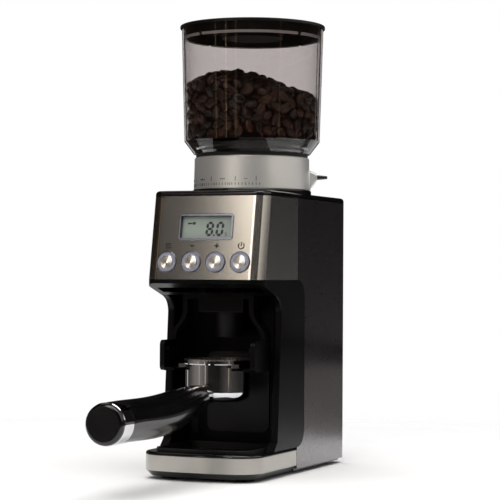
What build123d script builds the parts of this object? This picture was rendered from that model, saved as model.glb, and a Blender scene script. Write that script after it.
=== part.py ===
from build123d import *

import os
from math import atan2, cos, pi, radians, sin, tan

# Driving dimensions, in millimetres and degrees.
# Heights build up from the table. A reach is a distance in front of the grinding axis.

# Casing
BODY_WIDTH = 112.0
BACK_REACH = 104.0
HEAD_REACH = 98.0
PANEL_LEAN = 13.0
BEND_RADIUS = 12.0
BACK_RADIUS = 10.0
SHEET = 1.0
WALL = 2.5
SIDE_WALL = 3.0
SEAM_REACH = 24.0
SIDE_CUT_REACH = 6.0
SIDE_CUT_RADIUS = 16.0
REAR_COVER_WIDTH = 80.0

# Heights of the casing, from the table up
FOOT_HEIGHT = 3.0
BASE_HEIGHT = 21.5
BAY_HEIGHT = 137.5
BROW_HEIGHT = 14.0
PANEL_HEIGHT = 74.0
COVER_HEIGHT = 5.0
SIDE_PANEL_LIFT = 2.0

# Length of a cut that passes right through the body
THROUGH = 200.0

# Gaps: between fixed pieces, between moving pieces, and round a shaft
SEAT = 0.2
RUN = 0.3
SHAFT_FIT = 0.05

# Base, its steel band, the plate under it and the feet
BASE_REACH = 127.0
BASE_BOW = 7.0
BASE_CORNER = 24.0
BASE_SKIRT = 5.0
BASE_ROUND = 2.5
BASE_RIM = 9.0
BASE_DECK = 2.5
BAND_HEIGHT = 13.5
PLATE_THICK = 2.0
FOOT_RADIUS = 9.0
FOOT_SPREAD = 72.0
FOOT_FRONT_REACH = 96.0
FOOT_BACK_REACH = 84.0
BOSS_RADIUS = 4.5
BASE_SCREW_SPREAD = 56.0
BASE_SCREW_FRONT_REACH = 84.0
BASE_SCREW_BACK_REACH = 66.0

# Drip tray
TRAY_MARGIN = 9.7
TRAY_DEPTH = 8.2
TRAY_WALL = 2.0
TRAY_POCKET = 5.2

# Front frame with the bay that the filter holder hangs in
BAY_WALL = 8.0
BAY_BACK_REACH = 28.0
BAY_CORNER = 8.0
BROW_LIP = 3.5
BROW_BACK_REACH = 76.0
CHEEK_TOP_REACH = 62.0
CHEEK_LOW_REACH = 71.0
CHEEK_DROP = 7.0
CHEEK_FLARE = 7.0
CHEEK_ROUND = 3.0
CHEEK_EDGE = 1.0
COLUMN_WALL = 6.0
BACK_PLATE_WIDTH = 62.0
BACK_PLATE_HEIGHT = 74.0
BACK_PLATE_LIFT = 12.0
BACK_PLATE_THICK = 1.6

# Display and buttons, measured down the sloping panel
DISPLAY_WIDTH = 49.0
DISPLAY_HEIGHT = 20.0
DISPLAY_DROP = 28.0
DISPLAY_RECESS = 4.0
DISPLAY_RIM = 0.8
DISPLAY_PROUD = 0.8
DISPLAY_BEVEL = 0.5
DISPLAY_CORNER = 3.0
BUTTON_RADIUS = 6.1
BUTTON_PROUD = 1.9
BUTTON_TRAVEL = 1.2
BUTTON_COUNT = 4
BUTTON_MARGIN = 20.75
BUTTON_RISE = 14.4
BEZEL_RADIUS = 9.3
BEZEL_PROUD = 0.9
BEZEL_BARREL = 8.2
BEZEL_DEPTH = 5.0
BOARD_DEPTH = 13.0
BOARD_THICK = 1.6
BOARD_POST_MARGIN = 6.0
BOARD_POST_DROPS = (9.0, 45.0)
SWITCH_SIZE = 6.0
STEM_RADIUS = 1.6
STEM_LENGTH = 3.0

# Chute and filter holder cradle
CHUTE_REACH = 52.0
CHUTE_WIDTH = 22.0
CHUTE_DEPTH = 21.0
NOZZLE_RADIUS = 12.0
NOZZLE_BORE = 9.0
NOZZLE_DROP = 22.5
CHUTE_COVER_WIDTH = 44.0
CHUTE_COVER_ROOM = 1.0
CHUTE_COVER_DROP = 15.5
CRADLE_ROOM = 2.0
CRADLE_NECK_WIDTH = 69.0
CRADLE_LEAD = 24.5
CRADLE_TAIL = 13.0
CRADLE_STRIP = 6.0
CRADLE_WALL = 4.5
CRADLE_TOP_DROP = 40.0
CRADLE_ARM_HEIGHT = 27.0
CRADLE_FLANGE = 3.4
CRADLE_NECK_DROP = 12.0
LIP_WIDTH = 6.7
LIP_THICK = 3.0

# Filter holder
HOLDER_REACH = 75.0
BOWL_RADIUS = 29.7
BOWL_WALL = 1.9
BOWL_HEIGHT = 36.5
BOWL_ROUND = 9.0
BOWL_FLOOR = 3.5
BOWL_RIM = 1.8
BOWL_RIM_THICK = 2.5
OUTLET_RADIUS = 6.0
EAR_ROOM = 3.5
EAR_THICK = 3.4
EAR_FROM = 42.0
EAR_TO = 84.0
BASKET_WALL = 0.8
BASKET_RIM = 1.2
BASKET_DEPTH = 22.0
NECK_REST = 14.0
NECK_RADIUS = 8.5
NECK_DROP = 29.3
HANDLE_LENGTH = 221.0
HANDLE_RADIUS = 17.4
HANDLE_DROP = 42.5
GRIP_NECK_RADIUS = 11.0
# Sections of the grip: share of its length, of its drop and of its swelling
GRIP_SECTIONS = (
    (0.0, 0.2, 0.1),
    (0.15, 0.45, 0.6),
    (0.36, 0.8, 0.95),
    (0.7, 1.0, 1.0),
    (1.0, 1.0, 1.0),
)
END_RING_LENGTH = 16.0
END_CAP_LENGTH = 4.5
END_CAP_ROUND = 3.0

# Start plunger behind the filter holder
PLUNGER_DROP = 9.0
PLUNGER_RADIUS = 4.0
PLUNGER_HEAD = 6.5
PLUNGER_TRAVEL = 3.0
PLUNGER_GAP = 2.0
SWITCH_BODY = (22.0, 12.0, 14.0)
SWITCH_LEG = 3.0

# Drive: motor, one pair of spur gears, bearings and the burr shaft
MODULE = 1.25
GEAR_TEETH = 46
PINION_TEETH = 12
BACKLASH = 0.35
PRESSURE_ANGLE = 20.0
ROOT_SHARE = 1.25
GEAR_WIDTH = 8.0
SHAFT_RADIUS = 4.0
MOTOR_SHAFT_RADIUS = 2.5
BEARING_RADIUS = 9.5
BEARING_WIDTH = 5.0
CASE_WALL = 3.0
CASE_ROOM = 2.0
MOTOR_RADIUS = 29.0
MOTOR_LENGTH = 70.0
MOTOR_SHAFT_DEPTH = 16.0
MOTOR_SCREW_SPREAD = 40.0

# Grinding chamber and burrs
CHAMBER_RADIUS = 33.0
CHAMBER_WALL = 3.0
CHAMBER_FOOT = 9.0
CHAMBER_FLOOR = 4.0
CHAMBER_RIM_ROOM = 1.0
CHAMBER_RIM_DEPTH = 112.0
CHAMBER_RIM_THICK = 5.0
CHAMBER_RIM_CORNER = 8.0
POST_RADIUS = 3.5
SWEEPER_HEIGHT = 3.0
SWEEPER_LIFT = 4.0
VANE_HEIGHT = 7.0
VANE_LENGTH = 9.0
VANE_THICK = 3.0
VANES = 6
BURR_LIFT = 22.0
BURR_HEIGHT = 17.7
BURR_RADIUS = 28.0
BURR_MOUTH = 25.0
BURR_THROAT = 17.0
CONE_RADIUS = 19.6
CONE_HEIGHT = 23.7
CONE_TIP = 8.0
BURR_FLUTES = 9
FLUTE_DEPTH = 6.0
FLUTE_WIDTH = 1.0
FLUTE_LEAN = 18.0
BURR_GAP = 0.6
NUT_RADIUS = 7.0
NUT_HEIGHT = 5.0

# Grind dial and its lever
DIAL_COLLAR = 4.5
DIAL_FLARE = 0.7
DIAL_NECK_WALL = 3.0
DIAL_RISE = 34.0
DIAL_FLANGE = 2.6
DIAL_FLANGE_THICK = 3.0
CARRIER_WALL = 3.0
CARRIER_SETBACK = 6.0
CARRIER_ROOM = 1.5
COVER_RING_HEIGHT = 4.0
COVER_RING_WIDTH = 6.2
COVER_RING_ROUND = 1.5
COVER_ROUND = 3.5
LEVER_ANGLE = 23.0
LEVER_HEIGHT = 18.0
LEVER_WIDTH = 9.0
LEVER_LENGTH = 6.5
LEVER_DROP = 11.5
KNOB_LIFT = 12.0
KNOB_LENGTH = 9.5
KNOB_WIDTH = 11.0
KNOB_THICK = 4.2
KNOB_TIP = 0.6
KNOB_CORNER = 0.45

# Hopper, its lid and the beans
NECK_RING_HEIGHT = 3.0
NECK_RING_SETBACK = 1.3
HOPPER_RADIUS = 66.0
HOPPER_TAPER = 3.0
HOPPER_FOOT_PROUD = 0.7
HOPPER_WALL = 2.5
HOPPER_FOOT_WALL = 4.5
HOPPER_SKIRT_WALL = 1.625
HOPPER_CONE_HEIGHT = 12.0
HOPPER_HEIGHT = 105.0
HOPPER_FLOOR = 2.5
HOPPER_THROAT_FLARE = 6.5
HOPPER_NECK_RADIUS = 42.0
HOPPER_NECK_WALL = 2.2
HOPPER_NECK_LENGTH = 24.0
LID_OVERHANG = 1.5
LID_THICK = 2.5
LID_SKIRT = 9.5
LID_SKIRT_WALL = 3.0
LID_GAP = 0.6
SEAL_HEIGHT = 2.4
SEAL_DEPTH = 1.6
SEAL_LIP = 0.9
SEAL_NOTCH = 4.0
SEAL_NOTCHES = 4
SEAL_NOTCH_ANGLE = 65.0
GRIP_DISH_RADIUS = 26.0
GRIP_DISH_DEPTH = 9.0
GRIP_BAR_WIDTH = 9.0
HEAP_DROP = 36.0
HEAP_SLOPE = 22.0
HEAP_SIDE = -16.0
HEAP_REACH = 6.5

# Rear cover, its vents, the mains inlet and the power board
SCREW_RADIUS = 1.6
SCREW_HEAD = 3.2
SCREW_HEAD_HEIGHT = 1.8
SCREW_LENGTH = 9.0
REAR_SCREW_SPREAD = 66.0
REAR_SCREW_MARGIN = 12.0
VENT_LENGTH = 44.0
VENT_WIDTH = 3.0
VENT_PITCH = 8.0
VENT_COUNT = 7
VENT_LIFT = 165.0
INLET_RADIUS = 6.0
INLET_FLANGE = 8.0
INLET_BORE = 3.5
INLET_LIFT = 40.0
INLET_SIDE = -25.0
POWER_BOARD_WIDTH = 66.0
POWER_BOARD_HEIGHT = 80.0
POWER_BOARD_LIFT = 60.0
POWER_BOARD_STANDOFF = 10.0
COIL_SIZE = (32.0, 15.0, 28.0)
CAPACITOR_RADIUS = 7.0
CAPACITOR_HEIGHT = 18.0

# Heights and places worked out from the driving dimensions
BASE_TOP = FOOT_HEIGHT + BASE_HEIGHT
CEILING = BASE_TOP + BAY_HEIGHT
HEAD_LOW = CEILING + BROW_HEIGHT
HEAD_TOP = HEAD_LOW + PANEL_HEIGHT
COVER_TOP = HEAD_TOP + COVER_HEIGHT
COVER_UNDER = COVER_TOP - WALL
DIAL_TOP = COVER_TOP + DIAL_RISE
RING_LOW = DIAL_TOP + RUN
HOPPER_FOOT = RING_LOW + NECK_RING_HEIGHT
HOPPER_LOW = HOPPER_FOOT + HOPPER_CONE_HEIGHT
HOPPER_TOP = HOPPER_LOW + HOPPER_HEIGHT
SIDE_LOW = FOOT_HEIGHT + SIDE_PANEL_LIFT
BAND_LOW = FOOT_HEIGHT + BASE_SKIRT

# The whole depth, from the end of the handle to the back, is centred on the origin.
AXIS_Y = (HOLDER_REACH + HANDLE_LENGTH - BACK_REACH) / 2
BACK_Y = AXIS_Y + BACK_REACH
PANEL_REACH = HEAD_REACH + PANEL_LEAN
LEAN = atan2(PANEL_LEAN, PANEL_HEIGHT)
PANEL = Plane(
    origin=(0, AXIS_Y - HEAD_REACH, HEAD_TOP),
    x_dir=(1, 0, 0),
    z_dir=(0, -cos(LEAN), sin(LEAN)),
)
PANEL_OUT = Axis(PANEL.origin, PANEL.z_dir)
HALF = BODY_WIDTH / 2
BAY_HALF = HALF - BAY_WALL
CHAMBER_RIM_WIDTH = BODY_WIDTH - 2 * SIDE_WALL - 2 * CHAMBER_RIM_ROOM

# Display and buttons
BUTTON_PITCH = (BODY_WIDTH - 2 * BUTTON_MARGIN) / (BUTTON_COUNT - 1)
BUTTON_DROP = PANEL_HEIGHT - BUTTON_RISE
DISPLAY_HOLE_WIDTH = DISPLAY_WIDTH + 2 * SHEET + 2 * SEAT
DISPLAY_HOLE_HEIGHT = DISPLAY_HEIGHT + 2 * SHEET + 2 * SEAT
DISPLAY_HOLE_CORNER = DISPLAY_CORNER - DISPLAY_RIM

# Chute cover round the nozzle, cradle round the filter holder
CHUTE_COVER_REACH = CHUTE_REACH + NOZZLE_RADIUS + CHUTE_COVER_ROOM + 2 * WALL
CRADLE_FRONT_REACH = HOLDER_REACH + CRADLE_LEAD
CRADLE_BACK_REACH = HOLDER_REACH - CRADLE_TAIL
ARM_TOP = CEILING - CRADLE_TOP_DROP
ARM_LOW = ARM_TOP - CRADLE_ARM_HEIGHT
ARM_OUT = BAY_HALF - CRADLE_ROOM
ARM_IN = ARM_OUT - CRADLE_WALL
PLUNGER_Z = ARM_LOW - PLUNGER_DROP
EAR_RADIUS = ARM_IN - EAR_ROOM
BOWL_RIM_RADIUS = BOWL_RADIUS + BOWL_RIM
NECK_LENGTH = BOWL_RADIUS + NECK_REST

# Rings about the grinding axis, from the hopper's neck out to the cover
CARRIER_BORE = HOPPER_NECK_RADIUS + SEAT + RUN
CARRIER_OUT = CARRIER_BORE + CARRIER_WALL
DIAL_BORE = CARRIER_OUT + RUN
DIAL_NECK = DIAL_BORE + DIAL_NECK_WALL
DIAL_RADIUS = DIAL_NECK + DIAL_COLLAR
DIAL_FOOT_RADIUS = DIAL_RADIUS + DIAL_FLARE
COVER_BORE = DIAL_NECK + RUN
COVER_RING_RADIUS = COVER_BORE + COVER_RING_WIDTH
NECK_RING_RADIUS = DIAL_RADIUS - NECK_RING_SETBACK
HOPPER_FOOT_RADIUS = DIAL_RADIUS + HOPPER_FOOT_PROUD
HOPPER_LOW_RADIUS = HOPPER_RADIUS - HOPPER_TAPER
HOPPER_THROAT_RADIUS = HOPPER_NECK_RADIUS + HOPPER_THROAT_FLARE
LID_RADIUS = HOPPER_RADIUS + LID_OVERHANG

os.makedirs("parts", exist_ok=True)


def place(reach):
    """Y of a point that lies this far in front of the grinding axis."""
    return AXIS_Y - reach


def keep(piece, name):
    """Label a finished piece and write its file."""
    piece.part.label = name
    export_step(piece.part, f"parts/{name}.step")


def plan(height, front, inset=0.0):
    """Head outline seen from above: straight front with bent corners, rounded back corners."""
    with BuildSketch(Plane.XY.offset(height)) as outline:
        with Locations((0, AXIS_Y + (BACK_REACH - front) / 2)):
            Rectangle(BODY_WIDTH - 2 * inset, BACK_REACH + front - 2 * inset)
        fillet(outline.vertices().group_by(Axis.Y)[0], BEND_RADIUS - inset)
        fillet(outline.vertices().group_by(Axis.Y)[-1], BACK_RADIUS - inset)
    return outline.sketch


def base_plan(height, inset=0.0):
    """Front part of the base seen from above: bowed front edge with wide corners."""
    side_end = place(BASE_REACH - BASE_BOW)
    back = place(SEAM_REACH)
    with BuildSketch(Plane.XY.offset(height)) as outline:
        with BuildLine():
            ThreePointArc((-HALF, side_end), (0, place(BASE_REACH)), (HALF, side_end))
            Polyline((HALF, side_end), (HALF, back), (-HALF, back), (-HALF, side_end))
        make_face()
        fillet(outline.vertices().group_by(Axis.Y)[0], BASE_CORNER)
        if inset:
            offset(amount=-inset)
    return outline.sketch


def turn(points, reach=0.0, mode=Mode.ADD):
    """Revolve a closed outline of (radius, height) points about an upright axis."""
    with BuildSketch(Plane.XZ.offset(-place(reach))) as outline:
        with BuildLine():
            Polyline(*points, close=True)
        make_face()
    revolve(outline.sketch, axis=Axis((0, place(reach), 0), (0, 0, 1)), mode=mode)


def ring(inner, outer, low, high, reach=0.0, mode=Mode.ADD):
    """Plain upright ring or, with no inner radius, a plain disc."""
    turn([(inner, low), (outer, low), (outer, high), (inner, high)], reach, mode)


def block(low, high, mode=Mode.ADD):
    """Box between two corners."""
    middle = tuple((a + b) / 2 for a, b in zip(low, high))
    with Locations(middle):
        Box(*[abs(b - a) for a, b in zip(low, high)], mode=mode)


def screw(x, y, z, direction):
    """Pan-head screw whose head sits on the given point, its shank pointing along direction."""
    seat = Plane(origin=(x, y, z), z_dir=direction)
    with BuildSketch(seat) as shank:
        Circle(SCREW_RADIUS)
    extrude(shank.sketch, amount=SCREW_LENGTH)
    with BuildSketch(seat) as head:
        Circle(SCREW_HEAD)
    extrude(head.sketch, amount=-SCREW_HEAD_HEIGHT)


def screw_hole(x, y, z, direction):
    """Hole for that screw, with the head let in."""
    seat = Plane(origin=(x, y, z), z_dir=direction)
    with BuildSketch(seat) as shank:
        Circle(SCREW_RADIUS + SHAFT_FIT)
    extrude(shank.sketch, amount=SCREW_LENGTH + RUN, mode=Mode.SUBTRACT)
    with BuildSketch(seat) as head:
        Circle(SCREW_HEAD + SEAT)
    extrude(head.sketch, amount=-SCREW_HEAD_HEIGHT - RUN, mode=Mode.SUBTRACT)


def gear_outline(teeth, phase):
    """Corners of a spur gear with straight flanks, one tooth centred on the phase angle."""
    pitch_radius = MODULE * teeth / 2
    tip = pitch_radius + MODULE
    root = pitch_radius - ROOT_SHARE * MODULE
    middle = pi * MODULE / 4 - BACKLASH / 2
    slope = tan(radians(PRESSURE_ANGLE))
    tip_half = (middle - MODULE * slope) / tip
    root_half = (middle + MODULE * slope) / root
    corners = []
    for tooth in range(teeth):
        centre = radians(phase) + 2 * pi * tooth / teeth
        flanks = ((root, -root_half), (tip, -tip_half), (tip, tip_half), (root, root_half))
        for radius, angle in flanks:
            corners.append((radius * cos(centre + angle), radius * sin(centre + angle)))
    return corners


def gear(teeth, phase, y, low, bore):
    """Spur gear with a bore, standing at the given height."""
    with BuildSketch(Plane((0, y, low))) as outline:
        with BuildLine():
            Polyline(*gear_outline(teeth, phase), close=True)
        make_face()
        Circle(bore, mode=Mode.SUBTRACT)
    extrude(outline.sketch, amount=GEAR_WIDTH)


# Steel band let into the front of the base
with BuildPart() as base_band:
    extrude(base_plan(BAND_LOW), amount=BAND_HEIGHT)
    extrude(base_plan(BAND_LOW, SHEET), amount=BAND_HEIGHT, mode=Mode.SUBTRACT)
    split(bisect_by=Plane.XZ.offset(-place(SEAM_REACH + SHEET)), keep=Keep.TOP)
keep(base_band, "base_band")

# Base: a hollow plinth with a bowed front and a pocket for the drip tray
base_screw_places = [
    (side * BASE_SCREW_SPREAD / 2, place(reach))
    for side in (-1, 1)
    for reach in (BASE_SCREW_FRONT_REACH, -BASE_SCREW_BACK_REACH)
]
REAR_HALF = HALF - SIDE_WALL - SEAT
REAR_END = BACK_Y - SIDE_WALL - SEAT
TRAY_LOW = BASE_TOP - TRAY_POCKET
HOLLOW_TOP = TRAY_LOW - BASE_DECK
with BuildPart() as base:
    extrude(base_plan(FOOT_HEIGHT), amount=BASE_HEIGHT)
    low_edges = base.edges().group_by(Axis.Z)[0].sort_by(Axis.Y)[:-1]
    chamfer(low_edges, BASE_SKIRT)
    top_edges = base.edges().group_by(Axis.Z)[-1].sort_by(Axis.Y)[:-1]
    fillet(top_edges, BASE_ROUND)
    block((-REAR_HALF, place(SEAM_REACH), FOOT_HEIGHT), (REAR_HALF, REAR_END, BASE_TOP))
    fillet(base.edges().filter_by(Axis.Z).group_by(Axis.Y)[-1], BACK_RADIUS)
    hollow = base_plan(FOOT_HEIGHT, BASE_RIM - SEAT)
    extrude(hollow, amount=HOLLOW_TOP - FOOT_HEIGHT, mode=Mode.SUBTRACT)
    block(
        (-REAR_HALF + BASE_RIM - SEAT, place(SEAM_REACH + BASE_RIM), FOOT_HEIGHT),
        (REAR_HALF - BASE_RIM + SEAT, REAR_END - BASE_RIM + SEAT, HOLLOW_TOP),
        Mode.SUBTRACT,
    )
    extrude(base_plan(TRAY_LOW, TRAY_MARGIN - RUN), amount=TRAY_POCKET, mode=Mode.SUBTRACT)
    add(base_band.part, mode=Mode.SUBTRACT)
    for x, y in base_screw_places:
        with Locations((x, y, (FOOT_HEIGHT + PLATE_THICK + HOLLOW_TOP) / 2)):
            Cylinder(BOSS_RADIUS, HOLLOW_TOP - FOOT_HEIGHT - PLATE_THICK)
        screw_hole(x, y, FOOT_HEIGHT + SCREW_HEAD_HEIGHT, (0, 0, 1))
    for side in (-1, 1):
        x = side * REAR_SCREW_SPREAD / 2
        screw_hole(x, BACK_Y - SCREW_HEAD_HEIGHT, SIDE_LOW + REAR_SCREW_MARGIN, (0, -1, 0))
keep(base, "base")

# Plate that closes the base from below
with BuildPart() as base_plate:
    extrude(base_plan(FOOT_HEIGHT, BASE_RIM), amount=PLATE_THICK)
    block(
        (-REAR_HALF + BASE_RIM, place(SEAM_REACH + 2 * BASE_RIM), FOOT_HEIGHT),
        (REAR_HALF - BASE_RIM, REAR_END - BASE_RIM, FOOT_HEIGHT + PLATE_THICK),
    )
    for x, y in base_screw_places:
        screw_hole(x, y, FOOT_HEIGHT + SCREW_HEAD_HEIGHT, (0, 0, 1))
keep(base_plate, "base_plate")

with BuildPart() as base_screws:
    for x, y in base_screw_places:
        screw(x, y, FOOT_HEIGHT + SCREW_HEAD_HEIGHT, (0, 0, 1))
keep(base_screws, "base_screws")

# Four rubber feet stuck under the plate
with BuildPart() as feet:
    for reach in (FOOT_FRONT_REACH, -FOOT_BACK_REACH):
        for side in (-1, 1):
            with Locations((side * FOOT_SPREAD / 2, place(reach), FOOT_HEIGHT / 2)):
                Cylinder(FOOT_RADIUS, FOOT_HEIGHT)
    chamfer(feet.edges().group_by(Axis.Z)[0], FOOT_HEIGHT / 3)
keep(feet, "feet")

# Drip tray that lifts out of its pocket
with BuildPart() as drip_tray:
    extrude(base_plan(TRAY_LOW, TRAY_MARGIN), amount=TRAY_DEPTH)
    inside = base_plan(TRAY_LOW + TRAY_WALL, TRAY_MARGIN + TRAY_WALL)
    extrude(inside, amount=TRAY_DEPTH, mode=Mode.SUBTRACT)
    fillet(drip_tray.edges().group_by(Axis.Z)[-1], TRAY_WALL / 3)
keep(drip_tray, "drip_tray")

# Front frame: brow under the control panel, cheeks beside the bay, back wall and ceiling
column_half = HALF - COLUMN_WALL
brow_floor = CEILING + WALL
with BuildPart() as front_frame:
    with BuildSketch(Plane.YZ) as profile:
        with BuildLine():
            Polyline(
                (place(SIDE_CUT_REACH + SEAT), HEAD_LOW),
                (place(PANEL_REACH), HEAD_LOW),
                (place(PANEL_REACH), HEAD_LOW - BROW_LIP),
                (place(BROW_BACK_REACH), CEILING),
                (place(CHEEK_TOP_REACH), CEILING - CHEEK_DROP),
                (place(CHEEK_LOW_REACH), BASE_TOP + CHEEK_FLARE),
                (place(CHEEK_LOW_REACH + CHEEK_FLARE), BASE_TOP),
                (place(SIDE_CUT_REACH + SEAT), BASE_TOP),
                close=True,
            )
        make_face()
        fillet(profile.vertices().group_by(Axis.X)[-1], SIDE_CUT_RADIUS - SEAT)
        mouth = profile.vertices().sort_by_distance((place(CHEEK_TOP_REACH), CEILING - CHEEK_DROP))
        fillet(mouth[0], 2 * CHEEK_DROP)
    extrude(amount=HALF, both=True)
    extrude(plan(BASE_TOP, PANEL_REACH), amount=HEAD_LOW - BASE_TOP, mode=Mode.INTERSECT)
    with BuildSketch(Plane.XY.offset(BASE_TOP)):
        with Locations((0, place(BAY_BACK_REACH + THROUGH / 2))):
            RectangleRounded(2 * BAY_HALF, THROUGH, BAY_CORNER)
    extrude(amount=BAY_HEIGHT, mode=Mode.SUBTRACT)
    block(
        (-column_half, place(BAY_BACK_REACH - SIDE_WALL), BASE_TOP),
        (column_half, AXIS_Y, brow_floor),
        Mode.SUBTRACT,
    )
    block(
        (-column_half, place(HEAD_REACH), brow_floor),
        (column_half, AXIS_Y, HEAD_LOW),
        Mode.SUBTRACT,
    )
    block(
        (-CHUTE_WIDTH / 2 - SEAT, place(CHUTE_REACH + CHUTE_DEPTH / 2 + SEAT), CEILING),
        (CHUTE_WIDTH / 2 + SEAT, place(CHAMBER_RADIUS + CHAMBER_WALL), brow_floor),
        Mode.SUBTRACT,
    )
    with Locations(Location((0, place(BAY_BACK_REACH), PLUNGER_Z), (90, 0, 0))):
        Cylinder(PLUNGER_RADIUS + SHAFT_FIT, 4 * SIDE_WALL, mode=Mode.SUBTRACT)
    cheek_middle = (BASE_TOP + CEILING) / 2
    cheek_edges = front_frame.edges().filter_by(
        lambda edge: edge.length > BAY_HEIGHT / 2
        and edge.center().Y < place(CHEEK_TOP_REACH)
        and abs(edge.center().Z - cheek_middle) < BAY_HEIGHT / 4
    )
    by_side = cheek_edges.group_by(lambda edge: round(abs(edge.center().X)))
    fillet(by_side[0], CHEEK_ROUND)
    outer_edges = front_frame.edges().filter_by(
        lambda edge: edge.length > BAY_HEIGHT / 2
        and edge.center().Y < place(CHEEK_TOP_REACH)
        and abs(edge.center().Z - cheek_middle) < BAY_HEIGHT / 4
        and abs(edge.center().X) > HALF - SEAT
    )
    fillet(outer_edges, CHEEK_EDGE)
keep(front_frame, "front_frame")

# Thin cover plate on the bay's back wall
with BuildPart() as bay_plate:
    plate_low = BASE_TOP + BACK_PLATE_LIFT
    with BuildSketch(Plane.XZ.offset(-place(BAY_BACK_REACH))):
        with Locations((0, plate_low + BACK_PLATE_HEIGHT / 2)):
            RectangleRounded(BACK_PLATE_WIDTH, BACK_PLATE_HEIGHT, BAY_CORNER)
        with Locations((0, PLUNGER_Z)):
            Circle(PLUNGER_RADIUS + RUN, mode=Mode.SUBTRACT)
    extrude(amount=BACK_PLATE_THICK)
    fillet(bay_plate.faces().sort_by(Axis.Y)[0].outer_wire().edges(), BACK_PLATE_THICK / 3)
keep(bay_plate, "bay_plate")

# Brushed steel control panel, bent round both front corners
with BuildPart() as control_panel:
    loft([plan(HEAD_LOW, PANEL_REACH), plan(HEAD_TOP, HEAD_REACH)], ruled=True)
    inside = [plan(HEAD_LOW, PANEL_REACH, SHEET), plan(HEAD_TOP, HEAD_REACH, SHEET)]
    loft(inside, ruled=True, mode=Mode.SUBTRACT)
    split(bisect_by=Plane.XZ.offset(-place(SEAM_REACH)), keep=Keep.TOP)
    with BuildSketch(PANEL):
        with Locations((0, -DISPLAY_DROP)):
            RectangleRounded(DISPLAY_HOLE_WIDTH, DISPLAY_HOLE_HEIGHT, DISPLAY_HOLE_CORNER)
        with Locations((0, -BUTTON_DROP)):
            with GridLocations(BUTTON_PITCH, 1, BUTTON_COUNT, 1):
                Circle(BEZEL_BARREL + SEAT)
    extrude(amount=2 * SHEET, both=True, mode=Mode.SUBTRACT)
keep(control_panel, "control_panel")

# Moulded backing behind the steel, with posts for the control board
panel_slope = PANEL_HEIGHT / cos(LEAN)
backing_width = BODY_WIDTH - 2 * BEND_RADIUS - 2 * SEAT
post_across = backing_width / 2 - BOARD_POST_MARGIN
post_places = [(x, -drop) for x in (-post_across, post_across) for drop in BOARD_POST_DROPS]
with BuildPart() as panel_backing:
    with BuildSketch(PANEL.offset(-SHEET)):
        with Locations((0, -panel_slope / 2)):
            Rectangle(backing_width, panel_slope - 2 * WALL)
        with Locations((0, -DISPLAY_DROP)):
            Rectangle(DISPLAY_HOLE_WIDTH, DISPLAY_HOLE_HEIGHT, mode=Mode.SUBTRACT)
        with Locations((0, -BUTTON_DROP)):
            with GridLocations(BUTTON_PITCH, 1, BUTTON_COUNT, 1):
                Circle(BEZEL_BARREL + SEAT, mode=Mode.SUBTRACT)
    extrude(amount=-WALL)
    with BuildSketch(PANEL.offset(-SHEET)):
        with Locations(*post_places):
            Circle(POST_RADIUS)
    extrude(amount=-(BOARD_DEPTH - SHEET))
keep(panel_backing, "panel_backing")

# Display: bevelled frame and the panel of glass at the bottom of it
with BuildPart() as display_frame:
    with BuildSketch(PANEL.offset(-DISPLAY_RECESS)):
        with Locations((0, -DISPLAY_DROP)):
            sleeve_corner = DISPLAY_HOLE_CORNER - SEAT
            RectangleRounded(DISPLAY_WIDTH + 2 * SHEET, DISPLAY_HEIGHT + 2 * SHEET, sleeve_corner)
    extrude(amount=DISPLAY_RECESS)
    with BuildSketch(PANEL):
        with Locations((0, -DISPLAY_DROP)):
            rim = 2 * DISPLAY_RIM
            RectangleRounded(DISPLAY_HOLE_WIDTH + rim, DISPLAY_HOLE_HEIGHT + rim, DISPLAY_CORNER)
    extrude(amount=DISPLAY_PROUD)
    chamfer(display_frame.faces().sort_by(PANEL_OUT)[-1].edges(), DISPLAY_BEVEL)
    with BuildSketch(PANEL):
        with Locations((0, -DISPLAY_DROP)):
            RectangleRounded(DISPLAY_WIDTH, DISPLAY_HEIGHT, sleeve_corner - SHEET)
    extrude(amount=DISPLAY_RECESS + DISPLAY_PROUD, both=True, mode=Mode.SUBTRACT)
keep(display_frame, "display_frame")

with BuildPart() as display_module:
    with BuildSketch(PANEL.offset(-DISPLAY_RECESS)):
        with Locations((0, -DISPLAY_DROP)):
            Rectangle(DISPLAY_WIDTH + 2 * SHEET, DISPLAY_HEIGHT + 2 * SHEET)
    extrude(amount=-(BOARD_DEPTH - DISPLAY_RECESS))
keep(display_module, "display_module")

# Control board with a small switch under each button
stem_end = BEZEL_DEPTH + STEM_LENGTH
switch_top = stem_end + BUTTON_TRAVEL + SEAT
with BuildPart() as control_board:
    with BuildSketch(PANEL.offset(-BOARD_DEPTH)):
        with Locations((0, -panel_slope / 2)):
            Rectangle(backing_width - 2 * SEAT, panel_slope - 4 * WALL)
    extrude(amount=-BOARD_THICK)
keep(control_board, "control_board")

with BuildPart() as button_switches:
    with BuildSketch(PANEL.offset(-BOARD_DEPTH)):
        with Locations((0, -BUTTON_DROP)):
            with GridLocations(BUTTON_PITCH, 1, BUTTON_COUNT, 1):
                Rectangle(SWITCH_SIZE, SWITCH_SIZE)
    extrude(amount=BOARD_DEPTH - switch_top - SHEET)
    with BuildSketch(PANEL.offset(-BOARD_DEPTH)):
        with Locations((0, -BUTTON_DROP)):
            with GridLocations(BUTTON_PITCH, 1, BUTTON_COUNT, 1):
                Circle(STEM_RADIUS)
    extrude(amount=BOARD_DEPTH - switch_top)
keep(button_switches, "button_switches")

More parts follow.
